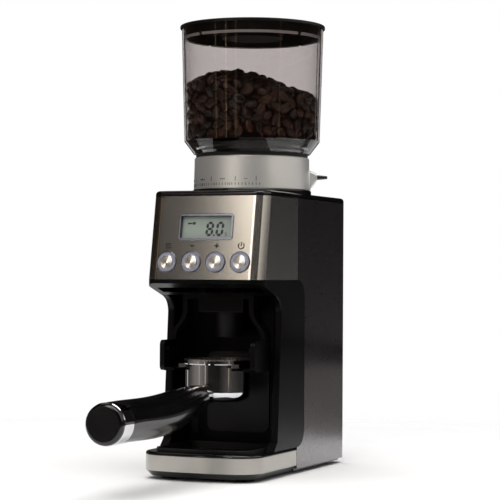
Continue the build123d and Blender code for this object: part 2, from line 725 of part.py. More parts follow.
# Rings round the four buttons
with BuildPart() as button_rings:
    with BuildSketch(PANEL):
        with Locations((0, -BUTTON_DROP)):
            with GridLocations(BUTTON_PITCH, 1, BUTTON_COUNT, 1):
                Circle(BEZEL_RADIUS)
    extrude(amount=BEZEL_PROUD)
    ring_tops = button_rings.faces().sort_by(PANEL_OUT)[-BUTTON_COUNT:]
    chamfer(ring_tops.edges(), BEZEL_PROUD / 2)
    with BuildSketch(PANEL):
        with Locations((0, -BUTTON_DROP)):
            with GridLocations(BUTTON_PITCH, 1, BUTTON_COUNT, 1):
                Circle(BEZEL_BARREL)
    extrude(amount=-BEZEL_DEPTH)
    with BuildSketch(PANEL):
        with Locations((0, -BUTTON_DROP)):
            with GridLocations(BUTTON_PITCH, 1, BUTTON_COUNT, 1):
                Circle(BUTTON_RADIUS + RUN)
    extrude(amount=BEZEL_DEPTH + BEZEL_PROUD, both=True, mode=Mode.SUBTRACT)
keep(button_rings, "button_rings")


def make_button(name, across):
    """Push button: a turned metal cap, a collar that keeps it in its ring, and a stem."""
    with BuildPart() as button:
        with BuildSketch(PANEL.offset(-BEZEL_DEPTH - RUN)):
            with Locations((across, -BUTTON_DROP)):
                Circle(BUTTON_RADIUS)
        extrude(amount=BEZEL_DEPTH + RUN + BUTTON_PROUD)
        cap = button.faces().sort_by(PANEL_OUT)[-1]
        fillet(cap.edges(), BEZEL_PROUD / 2)
        with BuildSketch(PANEL.offset(-BEZEL_DEPTH - RUN)):
            with Locations((across, -BUTTON_DROP)):
                Circle(BEZEL_BARREL)
        extrude(amount=-SHEET)
        with BuildSketch(PANEL.offset(-BEZEL_DEPTH - RUN)):
            with Locations((across, -BUTTON_DROP)):
                Circle(STEM_RADIUS)
        extrude(amount=-(stem_end - BEZEL_DEPTH - RUN))
    keep(button, name)


button_names = ("button_set", "button_minus", "button_plus", "button_power")
for place_in_row, button_name in enumerate(button_names):
    make_button(button_name, (place_in_row - (BUTTON_COUNT - 1) / 2) * BUTTON_PITCH)

# Side panels: flat sheets that wrap the back corners, cut back round the bay
with BuildPart() as side_panel_right:
    extrude(plan(SIDE_LOW, HEAD_REACH), amount=HEAD_TOP - SIDE_LOW)
    extrude(plan(SIDE_LOW, HEAD_REACH, SIDE_WALL), amount=HEAD_TOP - SIDE_LOW, mode=Mode.SUBTRACT)
    split(bisect_by=Plane.XZ.offset(-place(SEAM_REACH - SEAT)), keep=Keep.BOTTOM)
    split(bisect_by=Plane.YZ.offset(REAR_COVER_WIDTH / 2), keep=Keep.TOP)
    with BuildSketch(Plane.YZ) as opening:
        with Locations((place(SIDE_CUT_REACH + THROUGH / 2), (BASE_TOP + HEAD_LOW) / 2)):
            Rectangle(THROUGH, HEAD_LOW - BASE_TOP)
        fillet(opening.vertices().group_by(Axis.X)[-1], SIDE_CUT_RADIUS)
    extrude(amount=BODY_WIDTH, mode=Mode.SUBTRACT)
keep(side_panel_right, "side_panel_right")

with BuildPart() as side_panel_left:
    mirror(side_panel_right.part, about=Plane.YZ)
keep(side_panel_left, "side_panel_left")

# Rear cover with cooling slots, posts for the power board and a seat for the mains inlet
rear_screw_heights = (SIDE_LOW + REAR_SCREW_MARGIN, HEAD_TOP - REAR_SCREW_MARGIN)
rear_screw_places = [
    (side * REAR_SCREW_SPREAD / 2, z)
    for side in (-1, 1)
    for z in rear_screw_heights
]
board_y = BACK_Y - SIDE_WALL - POWER_BOARD_STANDOFF
board_middle = POWER_BOARD_LIFT + POWER_BOARD_HEIGHT / 2
rear_half = REAR_COVER_WIDTH / 2 - SEAT
with BuildPart() as rear_cover:
    block((-rear_half, BACK_Y - SIDE_WALL, SIDE_LOW), (rear_half, BACK_Y, HEAD_TOP))
    with BuildSketch(Plane.XZ.offset(-BACK_Y)):
        with Locations((0, VENT_LIFT)):
            with GridLocations(1, VENT_PITCH, 1, VENT_COUNT):
                SlotOverall(VENT_LENGTH, VENT_WIDTH)
        with Locations((INLET_SIDE, INLET_LIFT)):
            Circle(INLET_RADIUS + SEAT)
    extrude(amount=SIDE_WALL, mode=Mode.SUBTRACT)
    with BuildSketch(Plane.XZ.offset(-BACK_Y)):
        with Locations((INLET_SIDE, INLET_LIFT)):
            Circle(INLET_FLANGE + SEAT)
    extrude(amount=SIDE_WALL / 2, mode=Mode.SUBTRACT)
    with BuildSketch(Plane.XZ.offset(-(BACK_Y - SIDE_WALL))):
        with Locations((0, board_middle)):
            with GridLocations(POWER_BOARD_WIDTH - 4 * WALL, POWER_BOARD_HEIGHT - 4 * WALL, 2, 2):
                Circle(POST_RADIUS)
    extrude(amount=POWER_BOARD_STANDOFF)
    for x, z in rear_screw_places:
        screw_hole(x, BACK_Y - SCREW_HEAD_HEIGHT, z, (0, -1, 0))
keep(rear_cover, "rear_cover")

with BuildPart() as rear_screws:
    for x, z in rear_screw_places:
        screw(x, BACK_Y - SCREW_HEAD_HEIGHT, z, (0, -1, 0))
keep(rear_screws, "rear_screws")

with BuildPart() as mains_inlet:
    with BuildSketch(Plane.XZ.offset(-BACK_Y)):
        with Locations((INLET_SIDE, INLET_LIFT)):
            Circle(INLET_FLANGE)
            Circle(INLET_BORE, mode=Mode.SUBTRACT)
    extrude(amount=SIDE_WALL / 2)
    with BuildSketch(Plane.XZ.offset(-BACK_Y)):
        with Locations((INLET_SIDE, INLET_LIFT)):
            Circle(INLET_RADIUS)
            Circle(INLET_BORE, mode=Mode.SUBTRACT)
    extrude(amount=4 * SIDE_WALL)
keep(mains_inlet, "mains_inlet")

with BuildPart() as power_board:
    block(
        (-POWER_BOARD_WIDTH / 2, board_y - BOARD_THICK, POWER_BOARD_LIFT),
        (POWER_BOARD_WIDTH / 2, board_y, POWER_BOARD_LIFT + POWER_BOARD_HEIGHT),
    )
    coil_y = board_y - BOARD_THICK - COIL_SIZE[1] / 2
    with Locations((-POWER_BOARD_WIDTH / 5, coil_y, POWER_BOARD_LIFT + COIL_SIZE[2])):
        Box(*COIL_SIZE)
    with BuildSketch(Plane.XZ.offset(-(board_y - BOARD_THICK))):
        with Locations((POWER_BOARD_WIDTH / 4, board_middle + CAPACITOR_HEIGHT)):
            Circle(CAPACITOR_RADIUS)
    extrude(amount=CAPACITOR_HEIGHT)
keep(power_board, "power_board")

# Top cover with the raised ring that the dial turns in
collar_low = COVER_TOP + COVER_RING_HEIGHT + RUN
with BuildPart() as top_cover:
    extrude(plan(HEAD_TOP, HEAD_REACH), amount=COVER_HEIGHT)
    fillet(top_cover.edges().group_by(Axis.Z)[-1], COVER_ROUND)
    extrude(plan(HEAD_TOP, HEAD_REACH, SIDE_WALL), amount=COVER_HEIGHT - WALL, mode=Mode.SUBTRACT)
    ring(COVER_BORE, COVER_RING_RADIUS, COVER_UNDER, COVER_TOP + COVER_RING_HEIGHT)
    ring_top = top_cover.faces().sort_by(Axis.Z)[-1]
    fillet(ring_top.outer_wire().edges(), COVER_RING_ROUND)
    ring(0, COVER_BORE, HEAD_TOP, COVER_TOP + COVER_RING_HEIGHT, mode=Mode.SUBTRACT)
    for side in (-1, 1):
        x = side * REAR_SCREW_SPREAD / 2
        screw_z = HEAD_TOP - REAR_SCREW_MARGIN
        block(
            (x - BOSS_RADIUS, REAR_END - 2 * BOSS_RADIUS, screw_z - BOSS_RADIUS),
            (x + BOSS_RADIUS, REAR_END, COVER_UNDER),
        )
        screw_hole(x, BACK_Y - SCREW_HEAD_HEIGHT, screw_z, (0, -1, 0))
keep(top_cover, "top_cover")

# Gear case that carries the motor, the bearings and the gears
CENTRES = MODULE * (GEAR_TEETH + PINION_TEETH) / 2
MOTOR_Y = AXIS_Y + CENTRES
CASE_LOW = brow_floor
CASE_FLOOR = CASE_LOW + CASE_WALL
GEAR_LOW = CASE_LOW + BEARING_WIDTH + CASE_ROOM
GEAR_HIGH = GEAR_LOW + GEAR_WIDTH
CASE_TOP = GEAR_HIGH + CASE_ROOM
CASE_HALF = MODULE * GEAR_TEETH / 2 + MODULE + CASE_ROOM
case_reach = CASE_HALF + CASE_WALL
case_back = AXIS_Y + CENTRES + MOTOR_SCREW_SPREAD / 2 + 2 * CASE_WALL
motor_screw_places = [(side * MOTOR_SCREW_SPREAD / 2, MOTOR_Y) for side in (-1, 1)]
with BuildPart() as gear_case:
    block((-case_reach, place(case_reach), CASE_LOW), (case_reach, case_back, CASE_TOP))
    fillet(gear_case.edges().filter_by(Axis.Z), 4 * CASE_WALL)
    with BuildSketch(Plane.XY.offset(CASE_FLOOR)):
        middle_y = (place(CASE_HALF) + case_back - CASE_WALL) / 2
        with Locations((0, middle_y)):
            RectangleRounded(2 * CASE_HALF, case_back - CASE_WALL - place(CASE_HALF), 3 * CASE_WALL)
    extrude(amount=CASE_TOP - CASE_FLOOR, mode=Mode.SUBTRACT)
    ring(SHAFT_RADIUS, BEARING_RADIUS + CASE_WALL, CASE_LOW, CASE_LOW + BEARING_WIDTH)
    ring(0, BEARING_RADIUS + SHAFT_FIT, CASE_LOW, CASE_LOW + BEARING_WIDTH, mode=Mode.SUBTRACT)
    ring(0, 2 * MOTOR_SHAFT_RADIUS, CASE_LOW, CASE_FLOOR, -CENTRES, Mode.SUBTRACT)
    for x, y in motor_screw_places:
        with BuildSketch(Plane((x, y, CASE_LOW))):
            Circle(SCREW_RADIUS + SHAFT_FIT)
        extrude(amount=CASE_WALL, mode=Mode.SUBTRACT)
keep(gear_case, "gear_case")

with BuildPart() as gear_cover:
    block((-case_reach, place(case_reach), CASE_TOP), (case_reach, case_back, CASE_TOP + CASE_WALL))
    fillet(gear_cover.edges().filter_by(Axis.Z), 4 * CASE_WALL)
    ring(SHAFT_RADIUS, BEARING_RADIUS + CASE_WALL, CASE_TOP, CASE_TOP + BEARING_WIDTH)
    ring(0, BEARING_RADIUS + SHAFT_FIT, CASE_TOP, CASE_TOP + BEARING_WIDTH, mode=Mode.SUBTRACT)
keep(gear_cover, "gear_cover")

with BuildPart() as shaft_bearings:
    for bearing_low in (CASE_LOW, CASE_TOP):
        ring(SHAFT_RADIUS + SHAFT_FIT, BEARING_RADIUS, bearing_low, bearing_low + BEARING_WIDTH)
keep(shaft_bearings, "shaft_bearings")

# Motor under the gear case, its shaft and pinion
with BuildPart() as motor:
    motor_low = CASE_LOW - MOTOR_LENGTH
    ring(0, MOTOR_RADIUS, motor_low, CASE_LOW, -CENTRES)
    ends = motor.edges().filter_by(GeomType.CIRCLE)
    fillet(ends.group_by(Axis.Z)[0], 2 * CASE_WALL)
    ring(0, BEARING_RADIUS, motor_low - CASE_WALL, motor_low, -CENTRES)
    shaft_hole = MOTOR_SHAFT_RADIUS + SHAFT_FIT
    ring(0, shaft_hole, CASE_LOW - MOTOR_SHAFT_DEPTH, CASE_LOW, -CENTRES, Mode.SUBTRACT)
    for x, y in motor_screw_places:
        screw_hole(x, y, CASE_FLOOR, (0, 0, -1))
keep(motor, "motor")

with BuildPart() as motor_screws:
    for x, y in motor_screw_places:
        screw(x, y, CASE_FLOOR, (0, 0, -1))
keep(motor_screws, "motor_screws")

with BuildPart() as motor_shaft:
    ring(0, MOTOR_SHAFT_RADIUS, CASE_LOW - MOTOR_SHAFT_DEPTH + RUN, GEAR_HIGH, -CENTRES)
keep(motor_shaft, "motor_shaft")

with BuildPart() as motor_pinion:
    half_tooth = 180.0 / PINION_TEETH
    gear(PINION_TEETH, half_tooth - 90.0, MOTOR_Y, GEAR_LOW, MOTOR_SHAFT_RADIUS + SHAFT_FIT)
keep(motor_pinion, "motor_pinion")

with BuildPart() as drive_gear:
    gear(GEAR_TEETH, 90.0, AXIS_Y, GEAR_LOW, SHAFT_RADIUS + SHAFT_FIT)
keep(drive_gear, "drive_gear")

# Grinding chamber on the gear case, with an outlet towards the chute
CHAMBER_LOW = CASE_TOP + BEARING_WIDTH + CHAMBER_FOOT
CHAMBER_DECK = CHAMBER_LOW + CHAMBER_FLOOR
SWEEPER_LOW = CHAMBER_DECK + SWEEPER_LIFT
BURR_LOW = SWEEPER_LOW + BURR_LIFT
BURR_HIGH = BURR_LOW + BURR_HEIGHT
RIM_TOP = COVER_UNDER - SEAT - DIAL_FLANGE_THICK - 2 * RUN
RIM_LOW = RIM_TOP - CHAMBER_RIM_THICK
FUNNEL_LOW = RIM_LOW - CHAMBER_WALL
chamber_out = CHAMBER_RADIUS + CHAMBER_WALL
foot_bore = BEARING_RADIUS + CASE_WALL + SEAT
outlet_low = CHAMBER_DECK
outlet_high = SWEEPER_LOW + SWEEPER_HEIGHT + VANE_HEIGHT + SWEEPER_LIFT
with BuildPart() as grind_chamber:
    with BuildSketch(Plane((0, AXIS_Y, RIM_LOW))):
        RectangleRounded(CHAMBER_RIM_WIDTH, CHAMBER_RIM_DEPTH, CHAMBER_RIM_CORNER)
    extrude(amount=CHAMBER_RIM_THICK)
    with BuildSketch(Plane((0, AXIS_Y, RIM_LOW))):
        across = CHAMBER_RIM_WIDTH - 2 * CHAMBER_RIM_CORNER
        along = CHAMBER_RIM_DEPTH - 2 * CHAMBER_RIM_CORNER
        with GridLocations(across, along, 2, 2):
            Circle(POST_RADIUS)
    extrude(amount=COVER_UNDER - RIM_LOW)
    turn([
        (foot_bore, CASE_TOP + CASE_WALL),
        (foot_bore + CHAMBER_WALL, CASE_TOP + CASE_WALL),
        (foot_bore + CHAMBER_WALL, CHAMBER_LOW),
        (chamber_out, CHAMBER_LOW),
        (chamber_out, FUNNEL_LOW),
        (chamber_out + RIM_TOP - FUNNEL_LOW, RIM_TOP),
        (SHAFT_RADIUS + RUN, RIM_TOP),
        (SHAFT_RADIUS + RUN, CHAMBER_LOW),
        (foot_bore, CHAMBER_LOW),
    ])
    turn([
        (0, CHAMBER_DECK),
        (CHAMBER_RADIUS, CHAMBER_DECK),
        (CHAMBER_RADIUS, FUNNEL_LOW),
        (CHAMBER_RADIUS + RIM_TOP - FUNNEL_LOW, RIM_TOP),
        (0, RIM_TOP),
    ], mode=Mode.SUBTRACT)
    block(
        (-NOZZLE_BORE, place(chamber_out + CHAMBER_WALL), outlet_low),
        (NOZZLE_BORE, place(CHAMBER_RADIUS - CHAMBER_WALL), outlet_high),
        Mode.SUBTRACT,
    )
keep(grind_chamber, "grind_chamber")

# Turning parts of the grinder: shaft, sweeper, cone burr and its nut
cone_waist = CONE_RADIUS - (CONE_RADIUS - CONE_TIP) / 2
with BuildPart() as burr_shaft:
    ring(0, SHAFT_RADIUS, CASE_LOW, BURR_LOW + CONE_HEIGHT)
keep(burr_shaft, "burr_shaft")

with BuildPart() as sweeper:
    sweeper_radius = CHAMBER_RADIUS - CHAMBER_WALL / 2
    ring(SHAFT_RADIUS + SHAFT_FIT, sweeper_radius, SWEEPER_LOW, SWEEPER_LOW + SWEEPER_HEIGHT)
    ring(SHAFT_RADIUS + SHAFT_FIT, CONE_TIP + CHAMBER_WALL, SWEEPER_LOW, BURR_LOW)
    with Locations((0, AXIS_Y, SWEEPER_LOW + SWEEPER_HEIGHT + VANE_HEIGHT / 2)):
        with PolarLocations(sweeper_radius - VANE_LENGTH, VANES):
            Box(VANE_LENGTH, VANE_THICK, VANE_HEIGHT)
keep(sweeper, "sweeper")

with BuildPart() as cone_burr:
    turn([
        (SHAFT_RADIUS + SHAFT_FIT, BURR_LOW),
        (CONE_RADIUS, BURR_LOW),
        (cone_waist, BURR_LOW + CONE_HEIGHT / 2),
        (CONE_TIP, BURR_LOW + CONE_HEIGHT),
        (SHAFT_RADIUS + SHAFT_FIT, BURR_LOW + CONE_HEIGHT),
    ])
    with Locations((0, AXIS_Y, BURR_LOW + CONE_HEIGHT)):
        with PolarLocations(CONE_RADIUS - FLUTE_WIDTH, BURR_FLUTES):
            Box(FLUTE_DEPTH, FLUTE_WIDTH, CONE_HEIGHT, rotation=(FLUTE_LEAN, 0, 0), mode=Mode.SUBTRACT)
keep(cone_burr, "cone_burr")

with BuildPart() as burr_nut:
    with BuildSketch(Plane((0, AXIS_Y, BURR_LOW + CONE_HEIGHT))):
        RegularPolygon(NUT_RADIUS, 6)
    extrude(amount=NUT_HEIGHT)
keep(burr_nut, "burr_nut")

# Ring burr in its carrier, which the dial raises and lowers
carrier_top = DIAL_TOP - CARRIER_SETBACK
funnel_low = FUNNEL_LOW + RUN
neck_low = HOPPER_LOW - HOPPER_FLOOR - HOPPER_NECK_LENGTH - HOPPER_CONE_HEIGHT
with BuildPart() as ring_burr:
    turn([
        (CONE_RADIUS + BURR_GAP, BURR_LOW),
        (BURR_RADIUS, BURR_LOW),
        (BURR_RADIUS, BURR_HIGH),
        (BURR_MOUTH, BURR_HIGH),
        (BURR_THROAT, (BURR_LOW + BURR_HIGH) / 2),
    ])
keep(ring_burr, "ring_burr")

with BuildPart() as burr_carrier:
    turn([
        (BURR_RADIUS + SEAT, BURR_LOW),
        (CHAMBER_RADIUS - RUN, BURR_LOW),
        (CHAMBER_RADIUS - RUN, funnel_low),
        (CARRIER_OUT, funnel_low + CARRIER_OUT - CHAMBER_RADIUS + CHAMBER_WALL),
        (CARRIER_OUT, carrier_top),
        (CARRIER_BORE, carrier_top),
        (CARRIER_BORE, neck_low - CARRIER_ROOM),
        (BURR_RADIUS + SEAT, BURR_HIGH + RUN),
    ])
keep(burr_carrier, "burr_carrier")

# Grind dial: a silver collar with a retaining flange below the cover, and its lever
dial_low = RIM_TOP + RUN
flange_radius = COVER_BORE + DIAL_FLANGE
lever_low = DIAL_TOP - LEVER_DROP - LEVER_HEIGHT
knob_height = lever_low + KNOB_LIFT
lever_turn = radians(LEVER_ANGLE)
lever_way = (cos(lever_turn), sin(lever_turn), 0)


def lever_plane(radius, height):
    """Plane square to the lever, at a radius from the grinding axis."""
    origin = (radius * lever_way[0], AXIS_Y + radius * lever_way[1], height)
    return Plane(origin=origin, x_dir=(-lever_way[1], lever_way[0], 0), z_dir=lever_way)


with BuildPart() as grind_dial:
    turn([
        (DIAL_BORE, dial_low),
        (flange_radius, dial_low),
        (flange_radius, dial_low + DIAL_FLANGE_THICK),
        (DIAL_NECK, dial_low + DIAL_FLANGE_THICK),
        (DIAL_NECK, collar_low),
        (DIAL_FOOT_RADIUS, collar_low),
        (DIAL_RADIUS, DIAL_TOP),
        (DIAL_BORE, DIAL_TOP),
    ])
    chamfer(grind_dial.faces().sort_by(Axis.Z)[-1].outer_wire().edges(), SHEET)
keep(grind_dial, "grind_dial")

lever_root = DIAL_FOOT_RADIUS + SEAT
lever_end = lever_root + LEVER_LENGTH
with BuildPart() as dial_lever:
    with BuildSketch(lever_plane(lever_root, lever_low + LEVER_HEIGHT / 2)):
        RectangleRounded(LEVER_WIDTH, LEVER_HEIGHT, LEVER_WIDTH / 4)
    with BuildSketch(lever_plane(lever_end, knob_height)):
        RectangleRounded(KNOB_WIDTH, KNOB_THICK + 2 * SHEET, LEVER_WIDTH / 4)
    loft(ruled=True)
keep(dial_lever, "dial_lever")

with BuildPart() as lever_knob:
    with BuildSketch(lever_plane(lever_end, knob_height)):
        RectangleRounded(KNOB_WIDTH, KNOB_THICK, KNOB_THICK * KNOB_CORNER)
    with BuildSketch(lever_plane(lever_end + KNOB_LENGTH, knob_height)):
        tip_thick = KNOB_THICK * KNOB_TIP
        RectangleRounded(KNOB_WIDTH * KNOB_TIP, tip_thick, tip_thick * KNOB_CORNER)
    loft(ruled=True)
keep(lever_knob, "lever_knob")

# Chute from the chamber down to the nozzle above the filter holder
cover_low = CEILING - CHUTE_COVER_DROP
cover_floor = cover_low + WALL
nozzle_low = cover_low - NOZZLE_DROP
duct_low = cover_floor + WALL
duct_front = place(CHUTE_REACH + CHUTE_DEPTH / 2)
duct_back = place(chamber_out + SEAT)
with BuildPart() as chute:
    half = CHUTE_WIDTH / 2
    bore = half - WALL
    block((-half, duct_front, duct_low), (half, duct_back, outlet_high + WALL))
    block(
        (-bore, duct_front + WALL, duct_low),
        (bore, duct_back - WALL, outlet_high),
        Mode.SUBTRACT,
    )
    block(
        (-bore, duct_front + WALL, outlet_low),
        (bore, duct_back, outlet_high),
        Mode.SUBTRACT,
    )
keep(chute, "chute")

with BuildPart() as chute_nozzle:
    ring(NOZZLE_BORE, NOZZLE_RADIUS, nozzle_low, duct_low, CHUTE_REACH)
    ring(NOZZLE_BORE, NOZZLE_RADIUS + WALL, cover_floor, duct_low, CHUTE_REACH)
    fillet(chute_nozzle.edges().group_by(Axis.Z)[0], (NOZZLE_RADIUS - NOZZLE_BORE) / 3)
keep(chute_nozzle, "chute_nozzle")

with BuildPart() as chute_cover:
    cover_half = CHUTE_COVER_WIDTH / 2
    cover_back = place(BAY_BACK_REACH + SEAT)
    block((-cover_half, place(CHUTE_COVER_REACH), cover_low), (cover_half, cover_back, CEILING))
    fillet(chute_cover.edges().group_by(Axis.Z)[0], WALL / 2)
    block(
        (-cover_half + WALL, place(CHUTE_COVER_REACH - WALL), cover_floor),
        (cover_half - WALL, cover_back - WALL, CEILING),
        Mode.SUBTRACT,
    )
    ring(0, NOZZLE_RADIUS + SEAT, cover_low, cover_floor, CHUTE_REACH, Mode.SUBTRACT)
keep(chute_cover, "chute_cover")

# Cradle: two arms on curved hangers, with lips that the filter holder's ears slide on
neck_out = CRADLE_NECK_WIDTH / 2
neck_in = neck_out - CRADLE_WALL
flange_low = CEILING - CRADLE_FLANGE
neck_end = CEILING - CRADLE_NECK_DROP
curve_middle = (ARM_TOP + neck_end) / 2
hanger_front = CHUTE_COVER_REACH + CRADLE_STRIP
with BuildPart() as cradle:
    block((ARM_IN, place(CRADLE_FRONT_REACH), ARM_LOW), (ARM_OUT, place(CRADLE_BACK_REACH), ARM_TOP))
    fillet(cradle.edges().filter_by(Axis.X).group_by(Axis.Y)[0], CRADLE_WALL)
    block(
        (ARM_IN - LIP_WIDTH, place(CRADLE_FRONT_REACH), ARM_LOW),
        (ARM_IN, place(CRADLE_BACK_REACH), ARM_LOW + LIP_THICK),
    )
    block(
        (ARM_IN - SIDE_WALL, place(CRADLE_FRONT_REACH - SIDE_WALL), ARM_TOP - 3 * LIP_THICK),
        (ARM_IN, place(CRADLE_BACK_REACH), ARM_TOP - 2 * LIP_THICK),
    )
    with BuildSketch(Plane.XZ.offset(-place(CRADLE_BACK_REACH))):
        with BuildLine():
            Bezier(
                (ARM_OUT, ARM_TOP),
                (ARM_OUT, curve_middle),
                (neck_out, curve_middle),
                (neck_out, neck_end),
            )
            Polyline((neck_out, neck_end), (neck_out, CEILING), (neck_in, CEILING), (neck_in, neck_end))
            Bezier(
                (neck_in, neck_end),
                (neck_in, curve_middle),
                (ARM_IN, curve_middle),
                (ARM_IN, ARM_TOP),
            )
            Line((ARM_IN, ARM_TOP), (ARM_OUT, ARM_TOP))
        make_face()
    extrude(amount=hanger_front - CRADLE_BACK_REACH)
    mirror(about=Plane.YZ)
    block((-neck_in, place(hanger_front), flange_low), (neck_in, place(CRADLE_BACK_REACH), CEILING))
    block(
        (-CHUTE_COVER_WIDTH / 2 - SEAT, place(CHUTE_COVER_REACH + SEAT), flange_low),
        (CHUTE_COVER_WIDTH / 2 + SEAT, place(CRADLE_BACK_REACH), CEILING),
        Mode.SUBTRACT,
    )
keep(cradle, "cradle")

# Start plunger, pressed by the filter holder, and the switch behind the wall
plunger_tip = place(HOLDER_REACH - BOWL_RADIUS - PLUNGER_GAP)
wall_back = place(BAY_BACK_REACH - SIDE_WALL)
plunger_end = wall_back + PLUNGER_TRAVEL + 2 * SIDE_WALL
with BuildPart() as start_plunger:
    with BuildSketch(Plane((0, plunger_tip, PLUNGER_Z), z_dir=(0, 1, 0))):
        Circle(PLUNGER_RADIUS)
    extrude(amount=plunger_end - plunger_tip)
    with BuildSketch(Plane((0, plunger_tip, PLUNGER_Z), z_dir=(0, 1, 0))):
        Circle(PLUNGER_HEAD)
    extrude(amount=SIDE_WALL)
    fillet(start_plunger.edges().group_by(Axis.Y)[0], SIDE_WALL / 2)
    with BuildSketch(Plane((0, wall_back + RUN, PLUNGER_Z), z_dir=(0, 1, 0))):
        Circle(PLUNGER_HEAD)
    extrude(amount=SIDE_WALL / 2)
keep(start_plunger, "start_plunger")

with BuildPart() as start_switch:
    switch_front = plunger_end + PLUNGER_TRAVEL + RUN
    half_width = SWITCH_BODY[0] / 2
    half_height = SWITCH_BODY[2] / 2
    block(
        (-half_width, switch_front, PLUNGER_Z - half_height),
        (half_width, switch_front + SWITCH_BODY[1], PLUNGER_Z + half_height),
    )
    for side in (-1, 1):
        leg = side * (half_width - SWITCH_LEG / 2)
        block(
            (leg - SWITCH_LEG / 2, wall_back, PLUNGER_Z - half_height),
            (leg + SWITCH_LEG / 2, switch_front, PLUNGER_Z + half_height),
        )
keep(start_switch, "start_switch")

# Filter holder: chrome bowl with two ears and a neck
LIP_TOP = ARM_LOW + LIP_THICK
EAR_LOW = LIP_TOP + RUN
BOWL_TOP = EAR_LOW + EAR_THICK + BOWL_RIM_THICK
BOWL_LOW = BOWL_TOP - BOWL_HEIGHT
HOLDER_Y = place(HOLDER_REACH)
bowl_bore = BOWL_RADIUS - BOWL_WALL
neck_height = BOWL_TOP - NECK_DROP
neck_root = BOWL_RADIUS - BOWL_ROUND
with BuildPart() as holder_bowl:
    turn([
        (0, BOWL_LOW),
        (BOWL_RADIUS, BOWL_LOW),
        (BOWL_RADIUS, BOWL_TOP - BOWL_RIM_THICK - SHEET),
        (BOWL_RIM_RADIUS, BOWL_TOP - BOWL_RIM_THICK),
        (BOWL_RIM_RADIUS, BOWL_TOP),
        (0, BOWL_TOP),
    ], HOLDER_REACH)
    fillet(holder_bowl.edges().group_by(Axis.Z)[0], BOWL_ROUND)
    with BuildSketch(Plane((0, HOLDER_Y - neck_root, neck_height), z_dir=(0, -1, 0))):
        Circle(NECK_RADIUS)
    extrude(amount=NECK_LENGTH - neck_root)
    for side in (-1, 1):
        with BuildSketch(Plane((0, HOLDER_Y, EAR_LOW))):
            far = 2 * EAR_RADIUS
            angles = [radians(EAR_FROM), radians((EAR_FROM + EAR_TO) / 2), radians(EAR_TO)]
            with BuildLine():
                Polyline((0, 0), *[(side * far * sin(a), -far * cos(a)) for a in angles], close=True)
            make_face()
            Circle(EAR_RADIUS, mode=Mode.INTERSECT)
        extrude(amount=EAR_THICK)
    turn([
        (0, BOWL_LOW + BOWL_FLOOR),
        (BOWL_RADIUS - BOWL_ROUND, BOWL_LOW + BOWL_FLOOR),
        (bowl_bore, BOWL_LOW + BOWL_ROUND + BOWL_FLOOR),
        (bowl_bore, BOWL_TOP),
        (0, BOWL_TOP),
    ], HOLDER_REACH, Mode.SUBTRACT)
    ring(0, OUTLET_RADIUS, BOWL_LOW, BOWL_LOW + BOWL_FLOOR, HOLDER_REACH, Mode.SUBTRACT)
keep(holder_bowl, "holder_bowl")

basket_out = bowl_bore - SEAT
basket_low = BOWL_TOP - BASKET_DEPTH
with BuildPart() as filter_basket:
    turn([
        (0, basket_low),
        (basket_out, basket_low),
        (basket_out, BOWL_TOP),
        (BOWL_RIM_RADIUS - SHEET, BOWL_TOP),
        (BOWL_RIM_RADIUS - SHEET, BOWL_TOP + BASKET_RIM),
        (basket_out - BASKET_WALL, BOWL_TOP + BASKET_RIM),
        (basket_out - BASKET_WALL, basket_low + BASKET_WALL),
        (0, basket_low + BASKET_WALL),
    ], HOLDER_REACH)
keep(filter_basket, "filter_basket")

# Handle: swelling grip, steel ring and end cap
handle_height = BOWL_TOP - HANDLE_DROP
grip_end = HANDLE_LENGTH - END_CAP_LENGTH - END_RING_LENGTH
grip_span = grip_end - NECK_LENGTH


def handle_plane(length, height):
    """Plane square to the handle, at a length from the bowl's axis."""
    return Plane((0, HOLDER_Y - length, height), x_dir=(1, 0, 0), z_dir=(0, -1, 0))


with BuildPart() as handle_grip:
    for along, down, swell in GRIP_SECTIONS:
        height = neck_height - down * (neck_height - handle_height)
        with BuildSketch(handle_plane(NECK_LENGTH + along * grip_span, height)):
            Circle(GRIP_NECK_RADIUS + swell * (HANDLE_RADIUS - GRIP_NECK_RADIUS))
    loft()
keep(handle_grip, "handle_grip")

with BuildPart() as handle_ring:
    with BuildSketch(handle_plane(grip_end, handle_height)):
        Circle(HANDLE_RADIUS)
    extrude(amount=END_RING_LENGTH)
    chamfer(handle_ring.edges(), SHEET / 2)
keep(handle_ring, "handle_ring")

with BuildPart() as handle_cap:
    with BuildSketch(handle_plane(grip_end + END_RING_LENGTH, handle_height)):
        Circle(HANDLE_RADIUS - SHEET / 2)
    extrude(amount=END_CAP_LENGTH)
    fillet(handle_cap.faces().sort_by(Axis.Y)[0].edges(), END_CAP_ROUND)
keep(handle_cap, "handle_cap")

